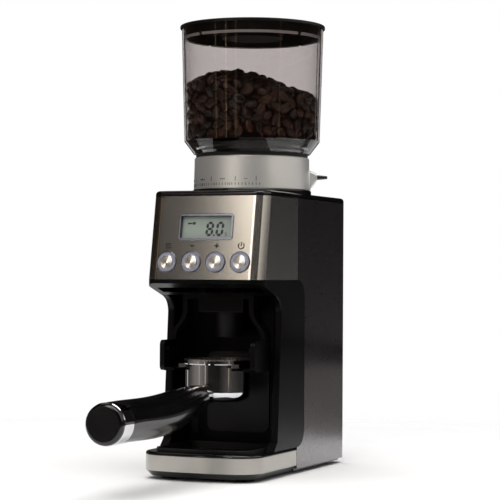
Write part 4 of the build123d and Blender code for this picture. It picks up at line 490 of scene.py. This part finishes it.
# Dial scale: pad-printed ink round the foot of the collar. A tick for each step, a number
# at each fifth, and above them dots that grow from fine to coarse between upright lines.
dial_low, dial_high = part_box("grind_dial")
AXIS_Y = (dial_low.y + dial_high.y) / 2 / MM
COLLAR_LOW = 259.3
COLLAR_HIGH = dial_high.z / MM
COLLAR_LOW_RADIUS = (dial_high.x - dial_low.x) / 2 / MM
COLLAR_TAPER = 0.7
PAD_INK_THICK = 0.06
STEP_ANGLE = 3.4
FRONT_STEP = 10
STEPS = 32
TICK_WIDE = 0.44
TICK_HIGH = 2.2
TICK_AT = 3.7
NUMBER_EVERY = 5
NUMBER_SIZE = 3.4
NUMBER_FOOT = 2.4
ZONES = (2, 8, 16, 24, 32)
ZONE_HIGH = 4.4
ZONE_AT = 8.4
DOT_SIZES = (0.35, 0.55, 0.8, 1.05)
DOT_STEP = 3.2
DOT_AT = 8.2
DOT_SIDES = 16


def on_dial(along, up, out):
    """Point on the collar: millimetres round it from the front to the right, and up from its foot."""
    share = up / (COLLAR_HIGH - COLLAR_LOW)
    radius = COLLAR_LOW_RADIUS - COLLAR_TAPER * share + out
    t = along / COLLAR_LOW_RADIUS
    return Vector((radius * math.sin(t), AXIS_Y - radius * math.cos(t), COLLAR_LOW + up)) * MM


def letters(words, size):
    """Outlines of a number's faces, centred, from the built-in font, as lists of (x, y) points."""
    text = bpy.data.curves.new("number", "FONT")
    text.body = words
    text.size = size
    text.align_x = "CENTER"
    text.resolution_u = 3
    holder = bpy.data.objects.new("number", text)
    bpy.context.scene.collection.objects.link(holder)
    bpy.context.view_layer.update()
    flat = bpy.data.meshes.new_from_object(holder.evaluated_get(bpy.context.evaluated_depsgraph_get()))
    faces = [[tuple(flat.vertices[v].co[:2]) for v in face.vertices] for face in flat.polygons]
    bpy.data.objects.remove(holder)
    bpy.data.curves.remove(text)
    bpy.data.meshes.remove(flat)
    return faces


def place_of(step):
    """Distance round the collar of a step on the scale."""
    return -math.radians((step - FRONT_STEP) * STEP_ANGLE) * COLLAR_LOW_RADIUS


scale = []
for step in range(1, STEPS + 1):
    x = place_of(step)
    if step % NUMBER_EVERY:
        scale.append(plate(x, TICK_AT, TICK_WIDE, TICK_HIGH))
    else:
        scale += [[(x + a, NUMBER_FOOT + b) for a, b in face] for face in letters(str(step), NUMBER_SIZE)]
for step in ZONES:
    scale.append(plate(place_of(step), ZONE_AT, TICK_WIDE, ZONE_HIGH))
turns = [2 * math.pi * i / DOT_SIDES for i in range(DOT_SIDES)]
for low, high, dot in zip(ZONES, ZONES[1:], DOT_SIZES):
    for k in (-1, 0, 1):
        x = (place_of(low) + place_of(high)) / 2 + k * DOT_STEP * dot
        scale.append([(x + dot * math.cos(t), DOT_AT + dot * math.sin(t)) for t in turns])
raised("dial_scale", scale, on_dial, PAD_INK_THICK, screen_ink, "dial_body")


# Filter holder bowl and the ring on its handle: brass, polished and chrome plated.
# A clear mirror with faint fingerprints, about 15 mm across, that dull it in patches.
chrome_plate, tree = new_finish("chrome_plate")
place = node(tree, "ShaderNodeTexCoord")
prints = node(tree, "ShaderNodeTexNoise", {"Scale": 1 / (15 * MM), "Detail": 6},
              {"Vector": (place, "Object")})
rough = node(tree, "ShaderNodeMapRange", {"To Min": 0.03, "To Max": 0.11}, {"Value": (prints, "Fac")})
tone = node(tree, "ShaderNodeMixRGB", {"Color1": colour("#CFD0D4"), "Color2": colour("#DEDEE1")},
            {"Fac": (prints, "Fac")})
shader = node(tree, "ShaderNodeBsdfPrincipled", {"Metallic": 1.0},
              {"Base Color": (tone, "Color"), "Roughness": (rough, "Result")})
node(tree, "ShaderNodeOutputMaterial", {}, {"Surface": (shader, "BSDF")})
dress(chrome_plate, "holder_bowl", "handle_ring")


# Filter basket, screws, shafts, gears and burrs: plain steel, pressed or machined.
# Tool marks about 0.8 mm apart leave it half dull.
machined_steel, tree = new_finish("machined_steel")
place = node(tree, "ShaderNodeTexCoord")
marks = node(tree, "ShaderNodeTexNoise", {"Scale": 1 / (0.8 * MM), "Detail": 3},
             {"Vector": (place, "Object")})
tone = node(tree, "ShaderNodeMixRGB", {"Color1": colour("#A8A6A2"), "Color2": colour("#C6C4C0")},
            {"Fac": (marks, "Fac")})
rough = node(tree, "ShaderNodeMapRange", {"To Min": 0.2, "To Max": 0.34}, {"Value": (marks, "Fac")})
bump = node(tree, "ShaderNodeBump", {"Strength": 0.1, "Distance": 0.05 * MM}, {"Height": (marks, "Fac")})
shader = node(tree, "ShaderNodeBsdfPrincipled", {"Metallic": 1.0},
              {"Base Color": (tone, "Color"), "Roughness": (rough, "Result"), "Normal": (bump, "Normal")})
node(tree, "ShaderNodeOutputMaterial", {}, {"Surface": (shader, "BSDF")})
dress(machined_steel, "filter_basket", "base_screws", "rear_screws", "motor_screws", "motor_shaft",
      "motor_pinion", "drive_gear", "burr_shaft", "cone_burr", "ring_burr", "burr_nut", "shaft_bearings")


# Motor: a steel can, deep drawn and zinc plated, screwed up under the gear case.
# The plating is dull, and spangled in patches about 6 mm across.
zinc_plate, tree = new_finish("zinc_plate")
place = node(tree, "ShaderNodeTexCoord")
spangle = node(tree, "ShaderNodeTexVoronoi", {"Scale": 1 / (6 * MM)}, {"Vector": (place, "Object")})
tone = node(tree, "ShaderNodeMixRGB", {"Color1": colour("#7C7E80"), "Color2": colour("#96989A")},
            {"Fac": (spangle, "Distance")})
shader = node(tree, "ShaderNodeBsdfPrincipled", {"Metallic": 0.9, "Roughness": 0.45},
              {"Base Color": (tone, "Color")})
node(tree, "ShaderNodeOutputMaterial", {}, {"Surface": (shader, "BSDF")})
dress(zinc_plate, "motor")


# Circuit boards: glass-filled epoxy under green lacquer, with the weave faintly showing.
# The weave is about 0.5 mm, drawn at 1 mm.
board_lacquer, tree = new_finish("board_lacquer")
place = node(tree, "ShaderNodeTexCoord")
weave = node(tree, "ShaderNodeTexChecker", {"Scale": 1 / (1 * MM), "Color1": colour("#11431F"),
                                            "Color2": colour("#164B25")}, {"Vector": (place, "Object")})
shader = node(tree, "ShaderNodeBsdfPrincipled", {"Roughness": 0.3}, {"Base Color": (weave, "Color")})
node(tree, "ShaderNodeOutputMaterial", {}, {"Surface": (shader, "BSDF")})
dress(board_lacquer, "control_board", "button_switches", "power_board")


# Hopper: a drum moulded in clear styrene acrylonitrile, 2.5 mm thick, faintly smoky.
# The wall bends what is behind it, and shows the strips of light as upright streaks. Its flow
# marks are about 30 mm across.
clear_san, tree = new_finish("clear_san")
place = node(tree, "ShaderNodeTexCoord")
flow = node(tree, "ShaderNodeTexNoise", {"Scale": 1 / (30 * MM), "Detail": 2},
            {"Vector": (place, "Object")})
tone = node(tree, "ShaderNodeMixRGB", {"Color1": colour("#D8D3D2"), "Color2": colour("#DDD8D7")},
            {"Fac": (flow, "Fac")})
rough = node(tree, "ShaderNodeMapRange", {"To Min": 0.0, "To Max": 0.04}, {"Value": (flow, "Fac")})
shader = node(tree, "ShaderNodeBsdfPrincipled", {"Transmission Weight": 1.0, "IOR": 1.5},
              {"Base Color": (tone, "Color"), "Roughness": (rough, "Result")})
node(tree, "ShaderNodeOutputMaterial", {}, {"Surface": (shader, "BSDF")})
dress(clear_san, "hopper")


# Lid: moulded ABS with a fine satin grain on top and on its rim, to hide finger marks,
# and a dull, light-swallowing finish underneath, which is what shows through the drum.
# The grain is about 0.2 mm, drawn at 0.5 mm.
lid_abs, tree = new_finish("lid_abs")
place = node(tree, "ShaderNodeTexCoord")
grain = node(tree, "ShaderNodeTexNoise", {"Scale": 1 / (0.5 * MM), "Detail": 2},
             {"Vector": (place, "Object")})
tone = node(tree, "ShaderNodeMixRGB", {"Color1": colour("#030304"), "Color2": colour("#080809")},
            {"Fac": (grain, "Fac")})
facing = node(tree, "ShaderNodeNewGeometry")
upright = node(tree, "ShaderNodeSeparateXYZ", {}, {"Vector": (facing, "Normal")})
rough = node(tree, "ShaderNodeMapRange",
             {"From Min": -0.9, "From Max": -0.4, "To Min": 0.95, "To Max": 0.38},
             {"Value": (upright, "Z")})
bump = node(tree, "ShaderNodeBump", {"Strength": 0.15, "Distance": 0.05 * MM}, {"Height": (grain, "Fac")})
shader = node(tree, "ShaderNodeBsdfPrincipled", {"IOR": 1.4},
              {"Base Color": (tone, "Color"), "Roughness": (rough, "Result"), "Normal": (bump, "Normal")})
node(tree, "ShaderNodeOutputMaterial", {}, {"Surface": (shader, "BSDF")})
dress(lid_abs, "hopper_lid")


# Lid seal: translucent silicone in four lengths, pressed into a groove round the lid's skirt
# between four lugs. Cloudy, in patches about 6 mm across.
silicone, tree = new_finish("silicone")
place = node(tree, "ShaderNodeTexCoord")
cloud = node(tree, "ShaderNodeTexNoise", {"Scale": 1 / (6 * MM), "Detail": 3},
             {"Vector": (place, "Object")})
tone = node(tree, "ShaderNodeMixRGB", {"Color1": colour("#C9C4C0"), "Color2": colour("#DAD6D2")},
            {"Fac": (cloud, "Fac")})
shader = node(tree, "ShaderNodeBsdfPrincipled",
              {"Roughness": 0.45, "IOR": 1.41, "Transmission Weight": 0.25},
              {"Base Color": (tone, "Color")})
node(tree, "ShaderNodeOutputMaterial", {}, {"Surface": (shader, "BSDF")})
dress(silicone, "lid_seal")


# Coffee beans: dark roasted, 10 to 14 mm long, round on one side and flat with a crease on the
# other. They lie against the drum's wall and in a heap whose peak is left of the middle.
# Each has its own shade of brown, and is darker and duller in patches about 2.5 mm across.
DRUM_LOW = 304.6
DRUM_LOW_RADIUS = 60.3
DRUM_FLARE = 3.0 / 105.0
HEAP_TOP = 370.5
HEAP_PEAK = (-16.0, -6.5)
HEAP_SLOPE = 0.43
HEAP_ROUND = 15.0
HEAP_RADIUS = 56.0
HEAP_SINK = 0.5
BEAN_HALF_LONG = 6.2
BEAN_HALF_WIDE = 4.4
BEAN_CROWN = 3.6
BEAN_SOLE = 2.0
BEAN_BLUNT = 0.8
BEAN_RINGS = 9
CREASE = math.radians(270)
CREASE_FLOOR = 0.45
CREASE_BOW = 0.35
# Points round a bean stand closer together beside its crease.
AROUND = [math.radians(a) for a in (0, 30, 60, 90, 120, 150, 180, 212, 243, 261, 270, 279, 297, 328)]
BEAN_SCALE = (0.84, 1.1)
BEAN_STRETCH = (0.95, 1.06)
BEAN_TILT = 0.28
CROWN_SHARE = 0.62
NEARLY_UPRIGHT = 0.9
BEAN_GAP = 8.0
WALL_GAP = 0.25
FLOOR_GAP = 3.0
# Beans by the wall: radius where the heap's height is taken, depth under it, distance in from the wall.
OUTER_BEANS = (57, 2.5, 3.2)
INNER_BEANS = (50, 5, 8.0)
OUTER_TRIES = 9000
HEAP_TRIES = 4000
INNER_TRIES = 2500
draws = np.random.default_rng(7)


def heap(x, y):
    """Height of the heap over a point, from the drum's axis."""
    away = math.hypot(x - HEAP_PEAK[0], y - HEAP_PEAK[1], HEAP_ROUND)
    return HEAP_TOP - HEAP_SLOPE * (away - HEAP_ROUND)


def wall(z):
    """Inside radius of the drum at a height."""
    return DRUM_LOW_RADIUS + DRUM_FLARE * (z - DRUM_LOW) - WALL_GAP


def bean_shape():
    """Points and faces of one bean, lengthways on X, its flat side down."""
    points = [(BEAN_HALF_LONG, 0, 0)]
    for i in range(1, BEAN_RINGS):
        a = math.pi * i / BEAN_RINGS
        for b in AROUND:
            depth = BEAN_CROWN if math.sin(b) >= 0 else BEAN_SOLE
            crease = CREASE_FLOOR if b == CREASE else 1.0
            bow = CREASE_BOW * math.sin(2 * a) if b == CREASE else 0.0
            points.append((BEAN_HALF_LONG * math.cos(a), BEAN_HALF_WIDE * math.sin(a) * math.cos(b) + bow,
                           depth * math.sin(a) ** BEAN_BLUNT * math.sin(b) * crease))
    points.append((-BEAN_HALF_LONG, 0, 0))
    n = len(AROUND)
    faces = [(0, 1 + (k + 1) % n, 1 + k) for k in range(n)]
    for i in range(BEAN_RINGS - 2):
        for k in range(n):
            a, b = 1 + i * n + k, 1 + i * n + (k + 1) % n
            faces.append((a, b, b + n, a + n))
    end = len(points) - 1
    faces += [(end, end - n + k, end - n + (k + 1) % n) for k in range(n)]
    return np.array(points), faces


def turned(out, spin, tilt):
    """Rotation whose third column points out, spun about it and then tilted a little."""
    out = np.array(out, float) / np.linalg.norm(out)
    across = (0.0, 0.0, 1.0) if abs(out[2]) < NEARLY_UPRIGHT else (0.0, 1.0, 0.0)
    side = np.cross(across, out)
    side /= np.linalg.norm(side)
    up = np.cross(out, side)
    first = side * math.cos(spin) + up * math.sin(spin)
    out = out + tilt[0] * first + tilt[1] * np.cross(out, first)
    out /= np.linalg.norm(out)
    first -= out * (first @ out)
    first /= np.linalg.norm(first)
    return np.column_stack([first, np.cross(out, first), out])


def spread(count, draw, *where):
    """Places drawn at random and kept where they are clear of those kept before."""
    kept = []
    for _ in range(count):
        at = draw(*where)
        if all(np.linalg.norm(at - other) > BEAN_GAP for other in kept):
            kept.append(at)
    return kept


def draw_by_wall(ring, depth, inward):
    """Place some way in from the drum's wall, under the heap."""
    t = draws.uniform(0, 2 * math.pi)
    top = heap(ring * math.cos(t), ring * math.sin(t)) - depth
    z = draws.uniform(DRUM_LOW + FLOOR_GAP, top)
    r = wall(z) - inward
    return np.array((r * math.cos(t), r * math.sin(t), z))


def draw_on_heap():
    """Place on top of the heap."""
    t = draws.uniform(0, 2 * math.pi)
    r = HEAP_RADIUS * math.sqrt(draws.uniform(0, 1))
    x, y = r * math.cos(t), r * math.sin(t)
    return np.array((x, y, heap(x, y) - HEAP_SINK))


shape, bean_faces = bean_shape()
points, faces, tones = [], [], []


def lay_bean(at, out):
    """Adds a bean whose broad side faces out, pushed in from the wall and up from the floor."""
    side = 1 if draws.uniform() < CROWN_SHARE else -1
    turn = turned(np.array(out) * side, draws.uniform(0, 2 * math.pi), draws.normal(0, BEAN_TILT, 2))
    bean = (shape * draws.uniform(*BEAN_SCALE) * draws.uniform(*BEAN_STRETCH, 3)) @ turn.T + at
    for _ in range(2):
        r = np.hypot(bean[:, 0], bean[:, 1])
        over = (r - np.array([wall(z) for z in bean[:, 2]])).max()
        if over > 0:
            away = np.array((at[0], at[1], 0.0))
            bean = bean - away / np.linalg.norm(away) * over
    bean[:, 2] += max(0.0, DRUM_LOW - bean[:, 2].min())
    first = sum(len(p) for p in points)
    points.append(bean)
    faces.extend(tuple(first + v for v in face) for face in bean_faces)
    tones.extend([draws.uniform()] * len(bean))


for at in spread(OUTER_TRIES, draw_by_wall, *OUTER_BEANS):
    lay_bean(at, (at[0], at[1], 0.0))
for at in spread(HEAP_TRIES, draw_on_heap):
    x, y = at[0] - HEAP_PEAK[0], at[1] - HEAP_PEAK[1]
    lean = HEAP_SLOPE / math.hypot(x, y, HEAP_ROUND)
    lay_bean(at, (lean * x, lean * y, 1.0))
for at in spread(INNER_TRIES, draw_by_wall, *INNER_BEANS):
    lay_bean(at, (at[0], at[1], 0.0))

# Below and behind the outer beans, the heap is one mass that also fills the neck.
# Its sides are (radius, height) points from the neck's foot up, and its top follows the heap.
CORE_SIDES = [(39.2, 267.0), (39.2, 292.0), (45.6, 304.6), (52.0, 304.8)]
CORE_TOP_RADII = (52.0, 40.0, 26.0, 12.0)
CORE_SINK = 7.0
CORE_TONE = 0.1
CORE_STEPS = 48
turns = [2 * math.pi * i / CORE_STEPS for i in range(CORE_STEPS)]
core_rings = [[(r * math.cos(t), r * math.sin(t), z) for t in turns] for r, z in CORE_SIDES]
for r in CORE_TOP_RADII:
    rim = [(r * math.cos(t), r * math.sin(t)) for t in turns]
    core_rings.append([(x, y, heap(x, y) - CORE_SINK) for x, y in rim])
core_points = [(0, 0, CORE_SIDES[0][1])]
core_points += [point for ring in core_rings for point in ring]
core_points.append((0, 0, heap(0, 0) - CORE_SINK))
first = sum(len(p) for p in points)
last = first + len(core_points) - 1
points.append(np.array(core_points))
tones.extend([CORE_TONE] * len(core_points))
for i in range(CORE_STEPS):
    j = (i + 1) % CORE_STEPS
    faces.append((first, first + 1 + j, first + 1 + i))
    for k in range(len(core_rings) - 1):
        a, b = first + 1 + k * CORE_STEPS + i, first + 1 + k * CORE_STEPS + j
        faces.append((a, b, b + CORE_STEPS, a + CORE_STEPS))
    end = last - CORE_STEPS
    faces.append((last, end + i, end + j))

roasted_bean, tree = new_finish("roasted_bean")
place = node(tree, "ShaderNodeTexCoord")
own = node(tree, "ShaderNodeAttribute", {"attribute_name": "tone"})
oil = node(tree, "ShaderNodeTexNoise", {"Scale": 1 / (2.5 * MM), "Detail": 4},
           {"Vector": (place, "Object")})
tone = node(tree, "ShaderNodeMixRGB", {"Color1": colour("#1E0E07"), "Color2": colour("#552A12")},
            {"Fac": (own, "Fac")})
patch = node(tree, "ShaderNodeMixRGB", {"blend_type": "MULTIPLY", "Color2": colour("#8C7264")},
             {"Fac": (oil, "Fac"), "Color1": (tone, "Color")})
rough = node(tree, "ShaderNodeMapRange", {"To Min": 0.3, "To Max": 0.5}, {"Value": (oil, "Fac")})
bump = node(tree, "ShaderNodeBump", {"Strength": 0.25, "Distance": 0.2 * MM}, {"Height": (oil, "Fac")})
shader = node(tree, "ShaderNodeBsdfPrincipled", {"IOR": 1.47},
              {"Base Color": (patch, "Color"), "Roughness": (rough, "Result"), "Normal": (bump, "Normal")})
node(tree, "ShaderNodeOutputMaterial", {}, {"Surface": (shader, "BSDF")})

bean_mesh = bpy.data.meshes.new("bean_pile")
stacked = (np.vstack(points) + (0, AXIS_Y, 0)) * MM
bean_mesh.from_pydata(stacked.tolist(), [], faces)
bean_mesh.attributes.new("tone", "FLOAT", "POINT").data.foreach_set("value", tones)
bean_mesh.polygons.foreach_set("use_smooth", [True] * len(faces))
bean_mesh.materials.append(roasted_bean)
bean_pile = bpy.data.objects.new("bean_pile", bean_mesh)
bpy.context.scene.collection.objects.link(bean_pile)
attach(bean_pile, "hopper_body")
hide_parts("coffee_beans")


# Studio: a matt white table that fades out into a white backdrop, and three soft lamps overhead.
# What the shiny parts mirror is made apart: a dark room, its floor and the table's far parts,
# glowing screens in front, above and at the right, and slim strips, high ones and low ones.
FLOOR_HALF = 1.0
FLOOR_CLEAR = 0.38
FLOOR_END = 0.8
floor_corners = [(x * FLOOR_HALF, y * FLOOR_HALF, 0) for x, y in ((-1, -1), (1, -1), (1, 1), (-1, 1))]
floor_mesh = bpy.data.meshes.new("floor")
floor_mesh.from_pydata(floor_corners, [], [(0, 1, 2, 3)])
floor = bpy.data.objects.new("floor", floor_mesh)
bpy.context.scene.collection.objects.link(floor)
white_table, tree = new_finish("white_table")
place = node(tree, "ShaderNodeTexCoord")
away = node(tree, "ShaderNodeVectorMath", {"operation": "LENGTH"}, {0: (place, "Object")})
fade = node(tree, "ShaderNodeMapRange", {"From Min": FLOOR_CLEAR, "From Max": FLOOR_END},
            {"Value": (away, "Value")})
paint = node(tree, "ShaderNodeBsdfDiffuse", {"Color": colour("#FAFAFA")})
clear = node(tree, "ShaderNodeBsdfTransparent")
blend = node(tree, "ShaderNodeMixShader", {}, {0: (fade, "Result"), 1: (paint, "BSDF"), 2: (clear, "BSDF")})
node(tree, "ShaderNodeOutputMaterial", {}, {"Surface": (blend, "Shader")})
floor_mesh.materials.append(white_table)

# The backdrop is full white where it is seen, and a weaker light on matt surfaces.
BACKDROP_SEEN = 1.0
BACKDROP_LIGHT = 0.35
world = bpy.data.worlds.new("studio")
bpy.context.scene.world = world
world.use_nodes = True
tree = world.node_tree
tree.nodes.clear()
path = node(tree, "ShaderNodeLightPath")
seen = node(tree, "ShaderNodeMath", {"operation": "MAXIMUM"},
            {0: (path, "Is Camera Ray"), 1: (path, "Is Glossy Ray")})
shown = node(tree, "ShaderNodeMath", {"operation": "MAXIMUM"},
             {0: (seen, "Value"), 1: (path, "Is Transmission Ray")})
level = node(tree, "ShaderNodeMapRange", {"To Min": BACKDROP_LIGHT, "To Max": BACKDROP_SEEN},
             {"Value": (shown, "Value")})
sky = node(tree, "ShaderNodeBackground", {"Color": colour("#FFFFFF")}, {"Strength": (level, "Result")})
node(tree, "ShaderNodeOutputWorld", {}, {"Surface": (sky, "Background")})

MIRRORED_FROM = Vector((0, 0, 0.21))
ROOM_FAR = 6.0
ROOM_BEHIND = 5.8
SCREEN_FAR = 4.5
STRIP_FAR = 3.5
ROOM_FLOOR_FAR = 3.0
TABLE_FAR = 0.6
LOW_STRIP_FAR = 0.58
STRIP_HALF = 0.7
LOW_STRIP_HALF = 1.5


def screen(name, tint, rows, columns, radius, through=False):
    """Glowing screen that shows in reflections, and through clear parts if asked: part of a ball round
    the object. Rows are heights in degrees, columns are (degrees round from the front, glow)."""
    material, tree = new_finish(name)
    glow = node(tree, "ShaderNodeAttribute", {"attribute_name": "glow"})
    shader = node(tree, "ShaderNodeEmission", {"Color": colour(tint)}, {"Strength": (glow, "Fac")})
    node(tree, "ShaderNodeOutputMaterial", {}, {"Surface": (shader, "Emission")})
    points, glows, faces = [], [], []
    for angle, strength in columns:
        for height in rows:
            t, e = math.radians(angle), math.radians(height)
            way = Vector((math.sin(t) * math.cos(e), -math.cos(t) * math.cos(e), math.sin(e)))
            points.append(MIRRORED_FROM + way * radius)
            glows.append(strength)
    n = len(rows)
    for i in range(len(columns) - 1):
        faces += [(i * n + k, i * n + k + 1, i * n + n + k + 1, i * n + n + k) for k in range(n - 1)]
    mesh = bpy.data.meshes.new(name)
    mesh.from_pydata([tuple(point) for point in points], [], faces)
    mesh.attributes.new("glow", "FLOAT", "POINT").data.foreach_set("value", glows)
    mesh.materials.append(material)
    piece = bpy.data.objects.new(name, mesh)
    bpy.context.scene.collection.objects.link(piece)
    piece.visible_camera = False
    piece.visible_diffuse = False
    piece.visible_transmission = through
    piece.visible_shadow = False


# The room is dark brown all round, and nearly black behind the object.
screen("dark_room", "#261F1A", range(-2, 95, 6), [(a, 1.0) for a in range(-135, 181, 5)], ROOM_FAR, True)
screen("dark_room_behind", "#161514", range(-6, 95, 6), [(a, 1.0) for a in range(145, 226, 5)], ROOM_BEHIND)
# Its floor, and the far parts of the table, show dimly under the room.
screen("far_floor", "#FFF4EA", [-32, -24, -16, -8, -2],
       [(-135, 0.06), (-90, 0.08), (-60, 0.28), (50, 0.28), (75, 0.08), (130, 0.06)], ROOM_FLOOR_FAR)
screen("far_table", "#FFF4EA", [-28, -16, -8, -4, -2],
       [(-150, 0.08), (-110, 0.05), (-108, 0.6), (-103, 0.6), (-101, 0.05), (-83, 0.09), (-62, 0.2),
        (-47, 0.24), (-30, 0.16), (-15, 0.1), (-8, 0.02), (28, 0.01), (45, 0.05), (60, 0.08), (80, 0.05),
        (103, 0.03), (130, 0.03)], TABLE_FAR)
screen("right_table", "#FFF8F4", [-28, -20, -12.5], [(130, 0.03), (145, 0.17), (215, 0.17)], TABLE_FAR)
# The screen in front is brightest near its left edge, and that edge is soft.
screen("front_screen", "#FFFAF2", [18.5, 25, 35, 45, 60],
       [(-33, 0.02), (-28.6, 0.02), (-26.8, 0.12), (-25.9, 0.6), (-25.1, 2.0), (-24.5, 4.8), (-24.0, 7.6),
        (-23.2, 7.0), (-21.5, 5.2), (-11, 5.2), (-9, 2.5), (-7.5, 0.03)], SCREEN_FAR)
screen("high_screen", "#FFFCF8", [50, 62, 75, 85], [(a, 4.5) for a in (-20, 10, 30, 50, 70, 90)], SCREEN_FAR)
screen("left_high_screen", "#FFF9F2", [48, 60, 75], [(a, 0.5) for a in (-150, -130, -110, -90, -70)],
       SCREEN_FAR)
screen("right_screen", "#FFFAF2", [10.5, 20, 35, 50],
       [(56, 0.03), (60, 1.2), (90, 1.0), (125, 1.2), (136, 1.5), (143, 0.05)], SCREEN_FAR)
# Slim warm strips stand upright and draw lines on the hopper, and low ones on the bowl.
for i, (angle, glow) in enumerate(((-40, 1.6), (-21, 2.6), (-4, 1.4), (70, 1.2))):
    screen(f"strip_{i + 1}", "#F2CFA0", [-1, 12, 24],
           [(angle - STRIP_HALF, glow), (angle + STRIP_HALF, glow)], STRIP_FAR)
for i, (angle, glow) in enumerate(((-44, 0.5), (-20, 0.6), (62, 0.45))):
    screen(f"low_strip_{i + 1}", "#FFEAD0", [-16, -9, -2.2],
           [(angle - LOW_STRIP_HALF, glow), (angle + LOW_STRIP_HALF, glow)], LOW_STRIP_FAR)


def lamp(name, at, aim, size, glow, tint):
    """Rectangular lamp that faces a point. Its power gives the same brightness at any size."""
    light = bpy.data.lights.new(name, "AREA")
    light.shape = "RECTANGLE"
    light.size, light.size_y = size
    light.energy = glow * math.pi * size[0] * size[1]
    light.color = colour(tint)[:3]
    holder = bpy.data.objects.new(name, light)
    bpy.context.scene.collection.objects.link(holder)
    holder.location = at
    holder.rotation_euler = (Vector(aim) - Vector(at)).to_track_quat("-Z", "Y").to_euler()
    holder.visible_glossy = False


lamp("front_box", at=(0.15, -1.2, 1.2), aim=(0, 0, 0.2), size=(0.8, 0.6), glow=5.5, tint="#FFF9F0")
lamp("right_box", at=(0.9, -0.1, 1.15), aim=(0, 0.05, 0.22), size=(0.7, 0.7), glow=1.3, tint="#FFFDFA")
lamp("top_box", at=(0, 0.1, 1.7), aim=(0, 0.1, 0), size=(1.7, 1.7), glow=2.7, tint="#FFFFFF")


# Camera: a long lens on a stand in front and to the right, a little under half the object's height.
# It looks up very slightly, and everything is in focus.
EYE = (0.68298, -1.51299, 0.17833)
YAW = math.radians(23.043)
PITCH = math.radians(0.83)
ROLL = math.radians(0.328)
camera = bpy.data.cameras.new("camera")
camera.lens = 135.1
camera.sensor_width = 36.0
eye = bpy.data.objects.new("camera", camera)
bpy.context.scene.collection.objects.link(eye)
eye.location = EYE
view = Vector((-math.sin(YAW) * math.cos(PITCH), math.cos(YAW) * math.cos(PITCH), math.sin(PITCH)))
eye.rotation_mode = "QUATERNION"
eye.rotation_quaternion = view.to_track_quat("-Z", "Y") @ Quaternion((0, 0, 1), ROLL)
bpy.context.scene.camera = eye
bpy.context.scene.view_settings.view_transform = "Standard"
